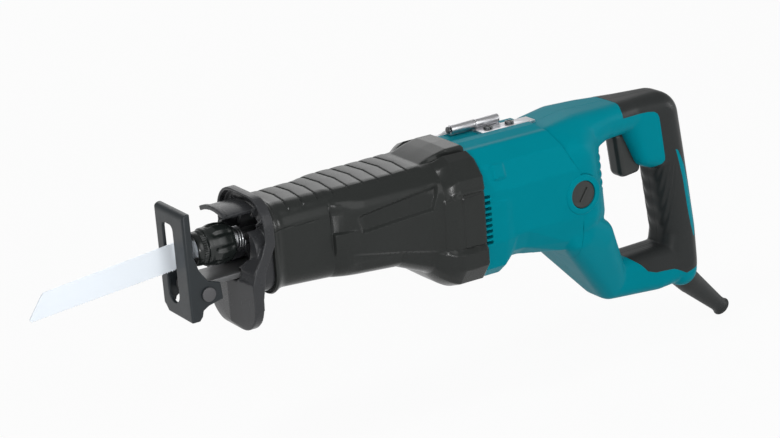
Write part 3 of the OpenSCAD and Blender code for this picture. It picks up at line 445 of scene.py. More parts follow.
def moulded_group(edge_wear_and_highlight):
    """Moulded plastic or rubber: spark-eroded grain, cloudy tone, lighter edges for wear and as a painted
    highlight, and handling gloss.
    """
    cloud_scale, hand_scale = 22.0, 55.0
    tree = group_tree("moulded_surface", [
        ("NodeSocketColor", "Colour", (0.5, 0.5, 0.5, 1)),
        ("NodeSocketColor", "Wear And Highlight Colour", (0.7, 0.7, 0.7, 1)),
        ("NodeSocketFloat", "Grain Scale", 1400.0),
        ("NodeSocketFloat", "Cloud", 0.1),
        ("NodeSocketFloat", "Wear And Highlight", 0.5),
        ("NodeSocketFloat", "Roughness", 0.5),
        ("NodeSocketFloat", "Gloss Spread", 0.1),
    ], SURFACE_OUTPUTS)
    inlet = node(tree, "NodeGroupInput")
    where = node(tree, "ShaderNodeTexCoord").outputs["Object"]
    fine = noise(tree, where, inlet.outputs["Grain Scale"], 3.0, 0.6)
    cloud = noise(tree, where, cloud_scale, 3.0, 0.55)
    hands = noise(tree, where, hand_scale, 4.0, 0.6)
    shade = math_node(tree, "MULTIPLY", math_node(tree, "SUBTRACT", cloud, 0.5), inlet.outputs["Cloud"])
    speck = math_node(tree, "MULTIPLY", math_node(tree, "SUBTRACT", fine, 0.5), inlet.outputs["Cloud"])
    level = math_node(tree, "ADD", math_node(tree, "ADD", shade, speck), 1.0)
    tint = node(tree, "ShaderNodeCombineColor")
    for channel in ("Red", "Green", "Blue"):
        feed(tree, level, tint.inputs[channel])
    toned = mixed_colour(tree, 1.0, inlet.outputs["Colour"], tint.outputs["Color"], "MULTIPLY")
    # Proud edges take the lighter colour, for wear and as a painted highlight.
    worn_and_lit = mix_edge_wear_and_highlight(tree, edge_wear_and_highlight, inlet, toned, inlet.outputs["Wear And Highlight Colour"])
    put_out(tree, inlet, worn_and_lit, math_node(tree, "SUBTRACT", hands, 0.5), fine)
    return tree


def drawn_metal_group(edge_wear_and_highlight):
    """Rolled, ground or plated metal: fine lines along one direction, stains, and bright edges for wear and
    as a painted highlight.
    """
    stain_scale = 70.0
    tree = group_tree("drawn_metal", [
        ("NodeSocketColor", "Colour", (0.6, 0.6, 0.6, 1)),
        ("NodeSocketColor", "Stain Colour", (0.4, 0.4, 0.4, 1)),
        ("NodeSocketColor", "Bare And Highlight Colour", (0.9, 0.9, 0.9, 1)),
        ("NodeSocketVector", "Line Scale", (40.0, 40.0, 2500.0)),
        ("NodeSocketFloat", "Stain", 0.4),
        ("NodeSocketFloat", "Wear And Highlight", 0.5),
        ("NodeSocketFloat", "Roughness", 0.35),
        ("NodeSocketFloat", "Gloss Spread", 0.15),
    ], SURFACE_OUTPUTS)
    inlet = node(tree, "NodeGroupInput")
    where = node(tree, "ShaderNodeTexCoord").outputs["Object"]
    stretch = node(tree, "ShaderNodeVectorMath", operation="MULTIPLY")
    feed(tree, where, stretch.inputs[0])
    feed(tree, inlet.outputs["Line Scale"], stretch.inputs[1])
    lines = noise(tree, stretch.outputs[0], 1.0, 3.0, 0.6)
    blotch = noise(tree, where, stain_scale, 5.0, 0.6)
    stain = math_node(tree, "MULTIPLY", blotch, inlet.outputs["Stain"])
    stained = mixed_colour(tree, stain, inlet.outputs["Colour"], inlet.outputs["Stain Colour"])
    # Proud edges take the brighter colour, for bare worn metal and as a painted highlight.
    bright = mix_edge_wear_and_highlight(tree, edge_wear_and_highlight, inlet, stained, inlet.outputs["Bare And Highlight Colour"])
    uneven = math_node(tree, "SUBTRACT", math_node(tree, "ADD", lines, blotch), 1.0)
    put_out(tree, inlet, bright, uneven, lines)
    return tree


def surface(name, group, values, bump, metallic=0.0, specular=0.5, tint=(1.0, 1.0, 1.0)):
    """A material fed by one of the surface groups; bump is its strength and its depth in mm."""
    material = bpy.data.materials.new(name)
    material.use_nodes = True
    tree = material.node_tree
    shader = tree.nodes["Principled BSDF"].inputs
    feed(tree, metallic, shader["Metallic"])
    feed(tree, specular, shader["Specular IOR Level"])
    feed(tree, solid_colour(tint), shader["Specular Tint"])
    look = node(tree, "ShaderNodeGroup", node_tree=group)
    for label, value in values.items():
        feed(tree, value, look.inputs[label])
    feed(tree, look.outputs["Colour"], shader["Base Color"])
    feed(tree, look.outputs["Roughness"], shader["Roughness"])
    relief = node(tree, "ShaderNodeBump")
    feed(tree, bump[0], relief.inputs["Strength"])
    feed(tree, bump[1] * MM, relief.inputs["Distance"])
    feed(tree, look.outputs["Height"], relief.inputs["Height"])
    feed(tree, relief.outputs["Normal"], shader["Normal"])
    return material


def lighter(colour, factor):
    """A colour scaled in brightness, kept within range."""
    return tuple(min(1.0, c * factor) for c in colour[:3]) + (1.0,)


def solid_colour(colour):
    """A colour as the four numbers a socket takes."""
    return tuple(colour[:3]) + (1.0,)


def build_finishes(colours):
    """All the saw's finishes, by name."""
    edge_wear_and_highlight = edge_mask_group()
    moulded, metal = moulded_group(edge_wear_and_highlight), drawn_metal_group(edge_wear_and_highlight)
    # How much lighter metal edges get, for wear and as a painted highlight.
    bright = 1.5

    def plastic(name, colour, rough, grain, bump, cloud=0.2, wear_and_highlight=0.5, spread=0.12, lift=1.6, **extra):
        FINISHES[name] = surface(name, moulded, {
            "Colour": solid_colour(colour), "Wear And Highlight Colour": lighter(colour, lift), "Grain Scale": grain,
            "Cloud": cloud, "Wear And Highlight": wear_and_highlight, "Roughness": rough, "Gloss Spread": spread,
        }, bump, **extra)

    def steel(name, colour, rough, lines, bump, stain=0.3, wear_and_highlight=0.6, spread=0.16, dark=0.6, **extra):
        FINISHES[name] = surface(name, metal, {
            "Colour": solid_colour(colour), "Stain Colour": lighter(colour, dark),
            "Bare And Highlight Colour": lighter(colour, bright), "Line Scale": lines, "Stain": stain, "Wear And Highlight": wear_and_highlight,
            "Roughness": rough, "Gloss Spread": spread,
        }, bump, **{"metallic": 1.0, **extra})

    # Each finish lightens its proud edges by its share: partly wear, partly a painted highlight.
    plastic("teal_moulding", colours.teal, 0.40, 1500.0, (0.08, 0.1), cloud=0.08, wear_and_highlight=0.3, lift=1.3,
            specular=0.045, tint=(0.12, 0.82, 1.0))
    plastic("cover_rubber", colours.cover, 0.23, 900.0, (0.1, 0.16), wear_and_highlight=0.7, spread=0.06, lift=2.2,
            specular=0.16)
    plastic("grip_rubber", colours.grip, 0.36, 700.0, (0.2, 0.2), wear_and_highlight=0.4, lift=1.5, specular=0.12)
    plastic("guard_moulding", colours.guard, 0.27, 1300.0, (0.1, 0.14), cloud=0.16, wear_and_highlight=0.9, spread=0.08,
            lift=1.8, specular=0.22)
    plastic("black_moulding", colours.black, 0.38, 1600.0, (0.10, 0.1), lift=2.0, specular=0.3)
    plastic("sleeve_moulding", colours.sleeve, 0.26, 1600.0, (0.06, 0.1), cloud=0.15, wear_and_highlight=0.6, lift=2.0,
            specular=0.4)
    plastic("cord_rubber", colours.grip, 0.5, 800.0, (0.2, 0.2), wear_and_highlight=0.3, lift=1.4, specular=0.2)
    plastic("carbon_block", colours.black, 0.7, 2500.0, (0.3, 0.1), cloud=0.4, wear_and_highlight=0.2)
    steel("oxide_steel", colours.oxide, 0.36, (500.0, 500.0, 500.0), (0.08, 0.06), stain=0.4, wear_and_highlight=1.2,
          metallic=0.0, specular=0.3)
    steel("blade_steel", colours.blade, 0.3, (30.0, 400.0, 3000.0), (0.04, 0.03), stain=0.06, wear_and_highlight=0.0,
          dark=0.9, spread=0.06, metallic=0.25, specular=0.25)
    steel("plain_steel", colours.steel, 0.32, (1800.0, 60.0, 60.0), (0.10, 0.05))
    steel("pin_steel", colours.pin, 0.45, (400.0, 400.0, 400.0), (0.1, 0.06), stain=0.5, metallic=0.3,
          specular=0.3)
    steel("bar_steel", colours.bar, 0.4, (60.0, 900.0, 900.0), (0.1, 0.06), stain=0.4, metallic=0.5,
          specular=0.4)
    steel("zinc_plate", colours.zinc, 0.36, (260.0, 260.0, 260.0), (0.06, 0.06), dark=0.72)
    steel("screw_steel", colours.screw, 0.36, (700.0, 700.0, 700.0), (0.08, 0.06), stain=0.5, metallic=0.8)
    steel("cast_aluminium", colours.casting, 0.5, (600.0, 600.0, 600.0), (0.3, 0.15))
    steel("stacked_sheets", colours.casting, 0.45, (2000.0, 20.0, 20.0), (0.6, 0.2), stain=0.5, dark=0.5)
    steel("enamelled_copper", colours.copper, 0.3, (40.0, 1500.0, 1500.0), (0.5, 0.2))
    steel("bronze", colours.bronze, 0.42, (900.0, 900.0, 900.0), (0.15, 0.08))


# Properties

def length(name, text, value):
    """A length property with its default in millimetres."""
    return bpy.props.FloatProperty(name=name, description=text, default=value * MM, unit="LENGTH",
                                   precision=5)


def paint(name, text, value):
    """A colour property; the default is an sRGB triple from 0 to 255."""
    linear = []
    for c in value:
        c /= 255.0
        linear.append(c / 12.92 if c <= 0.04045 else ((c + 0.055) / 1.055) ** 2.4)
    return bpy.props.FloatVectorProperty(name=name, description=text, default=linear, size=3, min=0, max=1,
                                         subtype="COLOR")


class SawShape(bpy.types.PropertyGroup):
    """Sizes of the visible detail."""

    tooth_pitch: length("Tooth pitch", "Distance from one saw tooth to the next", 1.9)
    tooth_depth: length("Tooth depth", "Height of a saw tooth", 1.1)
    tooth_set: length("Tooth set", "How far each tooth leans to its side", 0.25)
    rib_pitch: length("Rib pitch", "Distance between the cross grooves on top of the cover", 12.2)
    rib_groove: length("Rib groove", "Depth of the cross grooves on top of the cover", 0.75)
    panel_depth: length("Panel depth", "Depth of the recessed side panel of the cover", 2.2)
    lug_height: length("Lug height", "How far the collar's lugs stand up", 4.0)
    shell_grain: length("Shell grain", "Size of the grid on which the moulded shells are united", 0.9)
    grip_ridge: length("Grip ridge", "Distance between the fine ridges on the grip", 3.2)


class SawColours(bpy.types.PropertyGroup):
    """Colours of the finishes."""

    teal: paint("Teal", "Motor housing and handle", (0, 122, 136))
    cover: paint("Cover", "Rubber cover over the gears", (40, 42, 41))
    grip: paint("Grip", "Soft grip", (42, 44, 44))
    guard: paint("Guard", "Nose guard", (50, 51, 53))
    # The same black also makes the sheet that paints the shade behind the vents.
    black: paint("Black", "Trigger, brush caps and other small mouldings", (46, 48, 47))
    sleeve: paint("Sleeve", "Twist sleeve of the blade clamp", (26, 30, 29))
    oxide: paint("Oxide", "Blackened shoe", (36, 41, 44))
    blade: paint("Blade", "Saw blade", (233, 240, 247))
    steel: paint("Steel", "Bars, pins and rods", (176, 178, 180))
    pin: paint("Pin", "Shoe pivot pin", (88, 88, 90))
    bar: paint("Bar", "Bar that the shoe slides on", (120, 121, 122))
    zinc: paint("Zinc", "Hook and its base", (205, 205, 208))
    screw: paint("Screw", "Screw heads", (90, 92, 94))
    casting: paint("Casting", "Gear housing and laminations", (150, 152, 155))
    copper: paint("Copper", "Windings", (190, 110, 60))
    bronze: paint("Bronze", "Bushes", (176, 132, 72))


# Blade and nose

BLADE_HALF = 9.5
EDGE_START, EDGE_FALL, BACK_FALL = -20.0, math.radians(4.9), math.radians(6.1)
GUARD_SIDE = [(-62, 32.5), (-55, 32.5), (-55, 4), (-51, -6), (-44, -18), (-42, -24), (-42, -56), (-45, -62),
              (-48, -62), (-49.5, -36), (-53, -17), (-62, 1)]
NOSE_CUT_REAR = -80
BAR_PASSAGE = (NOSE_CUT_REAR, -14.2, -25.2), (-30, 14.2, -18)
VISOR_CENTRE = -19.5
VISOR_SWEEP = (-0.42, 0.36)


def blade_edge(x):
    """Height of the toothed edge, which falls towards the tip."""
    return -BLADE_HALF - (x - EDGE_START) * math.tan(EDGE_FALL)


class SAW_OT_blade(bpy.types.Operator):
    """Saw blade with set teeth, a relieved back and a raked tip"""

    bl_idname = "saw.blade"
    bl_label = "Blade"

    def execute(self, context):
        shape = context.scene.saw_shape
        pitch, depth, lean = (v / MM for v in (shape.tooth_pitch, shape.tooth_depth, shape.tooth_set))
        (tail, right_face, _), (tip, left_face, _) = tool_box("blade")
        heel = -12.0
        neck = -17.0
        tang_half = 6.0
        rake = 12.0
        point_share = 0.72
        edge_break = 0.12
        back_x = tip - rake
        back_z = BLADE_HALF - (back_x - heel) * math.tan(BACK_FALL)
        outline = [(tail, 0, tang_half), (tail, 0, -tang_half), (neck, 0, -tang_half),
                   (heel, 0, blade_edge(heel) + 1.2), (heel + 6, 0, blade_edge(heel + 6) + 0.4)]
        x, side = heel + 8.0, 1
        while x < tip - 2.5:
            point = x + point_share * pitch
            outline += [(x, 0, blade_edge(x) + depth), (point, side * lean, blade_edge(point))]
            x, side = x + pitch, -side
        outline += [(tip - 1.2, 0, blade_edge(tip) + 0.5), (tip, 0, blade_edge(tip) + 2.2),
                    (back_x + 2.2, 0, back_z - 2.2), (back_x, 0, back_z),
                    (heel, 0, BLADE_HALF), (neck, 0, tang_half)]
        faces = [[(x, y + face, z) for x, y, z in outline] for face in (right_face, left_face)]
        blade = bevel(rings("blade_with_teeth", faces), edge_break, segments=1)
        settle(blade, "ram", "blade_steel", sharp=25, nodes=["blade"])
        return {"FINISHED"}


class SAW_OT_blade_clamp(bpy.types.Operator):
    """Twist sleeve with flutes and a knurled ring, and the coil spring behind it"""

    bl_idname = "saw.blade_clamp"
    bl_label = "Blade clamp"

    def execute(self, context):
        self.sleeve()
        self.coil()
        return {"FINISHED"}

    def sleeve(self):
        """The sleeve's closed profile of (x, radius), turned about the stroke axis."""
        steps = 176
        flutes = 8
        flute_depth = 1.5
        knurls = 44
        knurl_depth = 0.45
        outer = [(-44.0, 11.5), (-43.8, 12.0), (-43.2, 12.7), (-42.2, 13.3)]
        outer += [(x, 13.7 + 0.8 * smoothstep(-41.0, -34.5, x)) for x in np.linspace(-41.0, -32.4, 12)]
        outer += [(x, 14.5 - 1.1 * smoothstep(-32.0, -26.2, x)) for x in np.linspace(-31.6, -26.2, 8)]
        outer += [(-25.6, 13.4), (-23.6, 13.4), (-23.2, 13.2), (-22.9, 12.4), (-22.5, 12.0)]
        outer += [(x, 12.0) for x in np.linspace(-22.0, -19.0, 9)]
        outer += [(-18.6, 12.0), (-17.2, 11.9), (-16.3, 11.6), (-15.5, 11.2), (-15.1, 10.9), (-15.0, 10.6)]
        bore = [(-15.1, 10.4), (-15.5, 10.15), (-16.5, 10.08), (-30.0, 10.08), (-41.8, 10.08),
                (-42.0, 10.9), (-43.8, 10.9), (-44.0, 11.2)]
        stack = []
        for x, radius in outer + bore:
            flute = flute_depth * smoothstep(-44.0, -40.5, x) * smoothstep(-26.5, -30.0, x)
            knurl = knurl_depth * smoothstep(-22.4, -22.0, x) * smoothstep(-19.0, -19.4, x)
            ring = []
            for k in range(steps):
                angle = 2 * math.pi * k / steps
                r = radius - flute * max(0.0, math.cos(flutes * angle)) ** 1.5
                r -= knurl * (0.5 + 0.5 * math.cos(knurls * angle))
                ring.append((x, r * math.cos(angle), r * math.sin(angle)))
            stack.append(ring)
        sleeve = rings("clamp_sleeve", stack, closed=True)
        settle(sleeve, "sleeve", "sleeve_moulding", sharp=40, nodes=["blade_clamp_sleeve"])

    def coil(self):
        """The clamp's spring, wound behind the sleeve."""
        turns = 4
        start = -44.4
        pitch = 1.95
        radius = 8.0
        wire = 0.7
        per_turn = 36
        wire_steps = 10
        stack = []
        for k in range(turns * per_turn + 1):
            angle = 2 * math.pi * k / per_turn
            x = start - wire - pitch * k / per_turn
            stack.append([(x + ahead, (radius + out) * math.cos(angle), (radius + out) * math.sin(angle))
                          for out, ahead in circle(wire, wire_steps)])
        spring = rings("clamp_coil", stack)
        settle(spring, "ram", "plain_steel", sharp=60, nodes=["clamp_spring"])


def visor_arc(radius, start, end):
    """An arc of (y, z) over the blade clamp, between angles from straight up."""
    return [(radius * math.sin(a), VISOR_CENTRE + radius * math.cos(a)) for a in np.linspace(start, end, 25)]


class SAW_OT_nose_guard(bpy.types.Operator):
    """Nose guard: beaded rim, hollow front, visor and prow-shaped skirt"""

    bl_idname = "saw.nose_guard"
    bl_label = "Nose guard"

    def execute(self, context):
        _, rim_half, rim_top = tool_box("nose_guard")[1]
        foot = tool_box("nose_guard")[0][2]
        corner = 22.0
        lip = 2.6
        side_margin = 5.0
        bore = 20.0
        visor_inside, visor_outside, brow_outside = 43.0, 45.5, 46.4
        front = round_polygon(rectangle(-rim_half, rim_half, foot, rim_top), radius=corner, steps=14)
        pieces = [self.body(front, rim_half + side_margin, rim_half - lip, rim_top - lip, corner - lip)]
        filler = round_polygon(rectangle(-29, 29, -37, 10), radius=15, steps=8)
        pieces.append(prism("cover_filler", filler, "x", COVER_X, -49.6))
        pieces.append(self.prow(front, rim_half))
        inner = visor_arc(visor_inside, *reversed(VISOR_SWEEP))
        visor, brow = visor_arc(visor_outside, *VISOR_SWEEP), visor_arc(brow_outside, *VISOR_SWEEP)
        pieces.append(prism("visor", visor + inner, "x", -58, -34.2))
        pieces.append(prism("visor_lip", brow + inner, "x", -36.4, -33.2))
        pieces += [self.rib(turn) for turn in (-1.0, -0.62, 0.62, 1.0)]
        for piece in pieces:
            carve(piece, prism("nose_bore", circle(bore, 64), "x", NOSE_CUT_REAR, -38.5))
            carve(piece, block("bar_passage", *BAR_PASSAGE))
        guard = soften(join("nose_guard_moulding", pieces), grain=0.6, passes=2)

        def bead(x, y, z, normal):
            height, inset, width = 0.7, 0.9, 0.8
            ring = bump_at(depth_inside(y, z, front) - inset, width)
            ring = ring * smoothstep(-56.6, -55.4, x) * smoothstep(-20, -14, z)
            return height * ring * smoothstep(0.2, 0.7, normal[:, 0])

        displace(guard, bead)
        settle(guard, "tool", "guard_moulding", sharp=50, nodes=["nose_guard"])
        return {"FINISHED"}

    def body(self, front, reach, hollow_half, hollow_top, hollow_corner):
        """The rim and skirt: the side view and the front view in common, with the front hollowed."""
        body = prism("guard_body", round_polygon(GUARD_SIDE, radius=2.2, steps=4), "y", -reach, reach)
        carve(body, prism("guard_front", front, "x", -70, -30), "INTERSECT")
        hollow = rectangle(-hollow_half, hollow_half, -12, hollow_top)
        hollow = round_polygon(hollow, radius=hollow_corner, steps=12)
        return carve(body, prism("front_hollow", hollow, "x", -59.2, -40))

    def prow(self, front, half):
        """The skirt's front, which comes to an edge in the middle."""
        top = -24
        low = -58
        back = -47.0
        face = -42.0
        edge = -39.4
        points = [(x, y, z) for x in (back, face) for y, z in front if z < top]
        points += [(face, y, top) for y in (-half, half)]
        return hull("skirt_prow", points + [(edge, 0, z) for z in (top, low)])

    def rib(self, turn):
        """A rib in the hollow, at an angle from straight up."""
        inside, outside, half = 20.5, 30.0, 1.1
        outward = np.array([math.sin(turn), math.cos(turn)])
        across = half * np.array([math.cos(turn), -math.sin(turn)])
        low, high = inside * outward, outside * outward
        return prism("rib", [low - across, high - across, high + across, low + across], "x", -60, -56.4)


class SAW_OT_shoe(bpy.types.Operator):
    """Pressed shoe, its pivot pin, the bar it slides on and the bar's screws"""

    bl_idname = "saw.shoe"
    bl_label = "Shoe"

    def execute(self, context):
        half = tool_box("shoe")[1][1]
        lip = 4.5
        lip_radius = 4.4
        lip_centre = 28.5
        sheet = 2.5
        bend = 2.3
        end = [(-6.0, lip_centre - 1.0), (-0.3, lip_centre - 1.0)]
        end += [(-lip + lip_radius * math.cos(a), lip_centre + lip_radius * math.sin(a))
                for a in np.radians([0, 20, 40, 60, 80, 110])]
        pieces = [eased_copy("shoe", "shoe_sheet", 0)]
        pieces += [side_prism("lip_end", end, sign, half - sheet, half) for sign in (-1, 1)]
        pressing = soften(join("shoe_pressing", pieces), grain=0.45, passes=4)
        carve(pressing, prism("corner_cut", [(-24, -33.7), (-24, -47), (-10.7, -47)], "x", -20, 4))
        for sign in (-1, 1):
            waste = [(bend * (math.cos(a) - 1), sign * (half + bend * (math.sin(a) - 1)))
                     for a in np.linspace(0, math.pi / 2, 9)]
            waste += [(-bend, sign * (half + 1)), (1, sign * (half + 1)), (1, sign * (half - bend))]
            carve(pressing, prism("bend_waste", waste, "z", -50, 40))
        settle(pressing, "shoe", "oxide_steel", sharp=50, nodes=["shoe"])
        dress_copies([
            ("shoe_pivot_pin", "shoe_pin", 0.4, "bar", "pin_steel", "dark_steel"),
            ("shoe_bar", "shoe_slide_bar", 0.5, "bar", "bar_steel", "plain_steel"),
            ("shoe_bar_screws", "bar_clamp_screws", 0.25, "tool", "screw_steel", "dark_steel"),
        ])
        return {"FINISHED"}


# Gear cover

COVER_STATIONS = np.array([
    # behind the front edge, half-width, top, bottom, corner radius
    [0.0, 29.0, 23.0, -37.0, 16.0],
    [47.5, 29.6, 23.5, -40.0, 16.0],
    [51.5, 31.6, 23.6, -40.3, 16.2],
    [55.5, 33.1, 23.7, -40.6, 16.4],
    [60.0, 34.2, 23.8, -41.0, 16.7],
    [66.0, 35.0, 24.0, -41.5, 17.0],
    [100.0, 36.5, 24.0, -44.0, 18.0],
    [123.0, 38.0, 24.5, -54.0, 20.0],
    [134.0, 40.0, 26.0, -61.0, 24.0],
    [142.0, 42.5, 27.0, -65.0, 26.0],
    [165.0, 43.5, 27.5, -67.0, 26.0],
])
COVER_ROWS = 330
COVER_WALL = 3.2
LUG_DRAWN = 4.0  # lug height that the two outlines below are drawn for
LUG_TOP = [(0, 32.0), (19, 31.6), (34.5, 25.5), (44.5, 14.0), (47.0, 0.0), (47.0, -20.0)]
LUG_FOOT = [(47.0, -30.0), (47.0, -52.0), (38.0, -64.5), (24.0, -69.5), (0, -70.0)]
SIDE_PANEL = [(-126, 4.5), (-193, 13.5), (-187.5, -4), (-130, -8)]


def faceted_reach(turn, outline):
    """Distance from the motor's axis to a flat-sided outline, at angles in degrees from straight up."""
    slack = 1e-9
    reach = np.zeros(turn.shape)
    across, up = np.sin(np.radians(turn)), np.cos(np.radians(turn))
    for (ay, az), (by, bz) in zip(outline, outline[1:]):
        az, bz = az - MOTOR_Z, bz - MOTOR_Z
        ahead = (ay * up - az * across <= slack) & (by * up - bz * across >= -slack)
        crossing = (ay * bz - az * by) / np.where(ahead, across * (bz - az) - up * (by - ay), 1.0)
        reach = np.where(ahead, np.abs(crossing), reach)
    return reach


def box_section(half, top, bottom, corner):
    """A rounded box section as (y, z), with as many points on like stretches at every station."""
    flat, arc, tall = (np.linspace(0, 1, count, endpoint=False) for count in (16, 44, 56))
    inner, quarter = half - corner, 0.5 * math.pi * arc
    left = [(inner * t, top) for t in flat]
    left += [(inner + corner * math.sin(a), top - corner + corner * math.cos(a)) for a in quarter]
    left += [(half, (top - corner) * (1 - t) + (bottom + corner) * t) for t in tall]
    left += [(inner + corner * math.cos(a), bottom + corner - corner * math.sin(a)) for a in quarter]
    left += [(inner * (1 - t), bottom) for t in flat]
    return left + [(0.0, bottom)] + [(-y, z) for y, z in left[:0:-1]]


class SAW_OT_front_cover(bpy.types.Operator):
    """Rubber cover with a grooved top strip, recessed side panels and a lugged collar"""

    bl_idname = "saw.front_cover"
    bl_label = "Front cover"

    def execute(self, context):
        shape = context.scene.saw_shape
        places = np.linspace(0.0, COVER_X - PART_X, COVER_ROWS)
        columns = [np.interp(places, COVER_STATIONS[:, 0], COVER_STATIONS[:, k]) for k in range(1, 5)]
        outer = np.array([[(COVER_X - d, y, z) for y, z in box_section(*row)]
                          for d, *row in zip(places, *columns)])
        from_axis = (outer - [0, 0, MOTOR_Z]) * [0, 1, 1]
        around = np.roll(outer, -1, 1) - np.roll(outer, 1, 1)
        normal = np.cross(around, np.gradient(outer, axis=0))
        normal /= np.linalg.norm(normal, axis=2)[..., None]
        normal *= np.sign(np.sum(normal * from_axis, axis=2))[..., None]

        x, y, z = np.moveaxis(outer, 2, 0)
        turn = np.degrees(np.arctan2(np.abs(y), z - MOTOR_Z))
        radius = np.linalg.norm(from_axis, axis=2)
        lift = self.strip(x, y, normal[..., 2], shape.rib_pitch / MM, shape.rib_groove / MM)
        lift += self.sides(x, z, np.abs(normal[..., 1]), shape.panel_depth / MM)
        lift += self.bands(x, turn)
        proud = shape.lug_height / MM / LUG_DRAWN * self.lugs(x, turn, radius)
        skin = outer + normal * lift[..., None] + from_axis * (proud / radius)[..., None]

        inner_step = 30
        wall = outer - normal * COVER_WALL
        wall[..., 0] = x
        stack = list(skin) + [wall[-1]] + list(wall[::inner_step][::-1])
        cover = rings("gear_cover_rubber", stack, closed=True)
        settle(cover, "tool", "cover_rubber", sharp=24, nodes=["front_cover"])
        return {"FINISHED"}

    def strip(self, x, y, facing_up, pitch, groove):
        """The raised strip along the top, crowned between its cross grooves."""
        height = 0.6
        crown = 0.35
        groove_width = 0.55
        chevron = 0.12
        first_groove = -70.0
        strip = smoothstep(26.0, 22.0, np.abs(y)) * smoothstep(0.35, 0.6, facing_up)
        strip = strip * smoothstep(-63.0, -66.0, x) * smoothstep(-190.0, -184.0, x)
        phase = ((first_groove - x + chevron * np.abs(y)) / pitch) % 1.0
        cut = bump_at(np.minimum(phase, 1.0 - phase) * pitch, groove_width)
        return strip * (height + crown * (1 - (2 * phase - 1) ** 2) - groove * cut)

    def sides(self, x, z, facing_side, recess):
        """Panel, brow, ledge, flare, crease and seam, alike on both sides."""
        brow_height = 0.9
        ledge_height = 3.4
        crease_depth = 1.6
        seam_depth = 0.6
        seam_width = 0.5
        flare_depth = 0.5
        flare_tilt = 1.8
        crease_slope = 0.2
        seam_slope = 0.02
        behind_flare = smoothstep(-124, -134, x)
        panel = smoothstep(-0.6, 2.0, depth_inside(x, z, SIDE_PANEL)) * behind_flare
        (front_x, front_z), (rear_x, rear_z) = SIDE_PANEL[:2]
        panel_top = np.interp(-x, [-front_x, -rear_x], [front_z, rear_z])
        brow = smoothstep(0.0, 1.2, z - panel_top) * smoothstep(20, 14, z)
        brow = brow * behind_flare * smoothstep(-196, -190, x)
        ledge = smoothstep(-26, -14, z) * ramp(-4.0, -5.0, z)
        ledge = ledge * ramp(-109.0, -111.0, x) * ramp(-128, -110, x)
        flare = ramp(-5.0, -4.0, z) * smoothstep(18, 9, z) * ramp(-108.0, -110.0, x) * ramp(-126, -110, x)
        flare = flare * (flare_depth + flare_tilt * ramp(-4.0, 8.0, z))
        crease_z = -22.0 + (x + 128.0) * crease_slope
        crease = ramp(0.0, 2.0, crease_z - z) * smoothstep(0.72, 0.94, facing_side)
        crease = crease * smoothstep(-118, -130, x) * smoothstep(-206, -192, x)
        seam_z = 9.0 + (x - COVER_X) * seam_slope
        seam = bump_at(z - seam_z, seam_width) * smoothstep(-102, -101, x)
        seam = seam * smoothstep(0.5, 0.9, facing_side)
        lift = brow_height * brow + ledge_height * ledge - recess * panel - flare - crease_depth * crease
        return smoothstep(0.3, 0.6, facing_side) * lift - seam_depth * seam

    def bands(self, x, turn):
        """Two flat bands between the lugs, the flared front edge, and both ends broken."""
        band = 1.2
        second_band = 0.8
        flange = 3.4
        rear_break = 1.2
        front_break = 0.8
        lift = band * ramp(-194.5, -196.0, x) * ramp(58, 62, turn) * ramp(111, 108, turn)
        lift += second_band * ramp(-208.5, -209.5, x) * ramp(61, 62, turn) * ramp(109, 108, turn)
        lift += flange * smoothstep(-74.0, -62.5, x) ** 2
        lift -= rear_break * ramp(PART_X + 1.6, PART_X, x)
        return lift - front_break * ramp(COVER_X - 1.4, COVER_X, x)

    def lugs(self, x, turn, radius):
        """How far the collar's lugs stand out from the motor's axis beyond the plain section."""
        top = ramp(23.0, 21.5, turn) * ramp(-190, -213, x)
        corner = ramp(24.5, 26.5, turn) * ramp(61.0, 59.5, turn) * ramp(-196, -206, x)
        foot = ramp(109.0, 111.5, turn) * ramp(-188, -206, x)
        upper = np.maximum(faceted_reach(turn, LUG_TOP) - radius, 0.0)
        lower = np.maximum(faceted_reach(turn, LUG_FOOT) - radius, 0.0)
        return np.maximum(top, corner) * upper + foot * lower


# Motor housing

SEAM_LINE = [(-297, 60), (-297, 31.5), (-301, 22), (-311, 1), (-316, -9), (-316, -56), (-308, -90)]
SEAM_GAP = 0.12
MOTOR_HALF = [(24, -60), (35, -52), (41, -38), (41, -2), (35, 17), (23, 27.5)]
DEEP_HALF = [(27, -68.5), (37, -60), (42, -40), (42, -10)]
DEEP_FOOT = [(24, -60), (35, -52.5), (40.5, -39), (40.5, -11)]
HOOK_LEDGE = [(1.4, 24), (1.4, 29.9), (9, 29.6), (24, 26), (30, 20), (30, 15)]
# Place of the dark sheet behind the vent slots, which paints the shade inside the housing.
SHADE_SHEET_DEPTH = (32.6, 34.6)
STRUT_START = [(20, -58), (24, -60), (35, -52), (41, -38), (30, -38)]
STRUT_ROOT = [(20, -64), (33, -64), (38, -56), (41, -38), (30, -38)]
MARK_SECTION = [(32, 17.2), (35.4, 16.4), (38.4, 6.8), (34, 6)]
MARK_RISE = [(-237.0, -1.0), (-240.6, 1.4), (-249.5, 1.0)]
CAP_TURN = math.radians(-55)
WALL_CUT = (30.0, 60.0)  # beside the middle plane, from within the shell's wall to beyond it


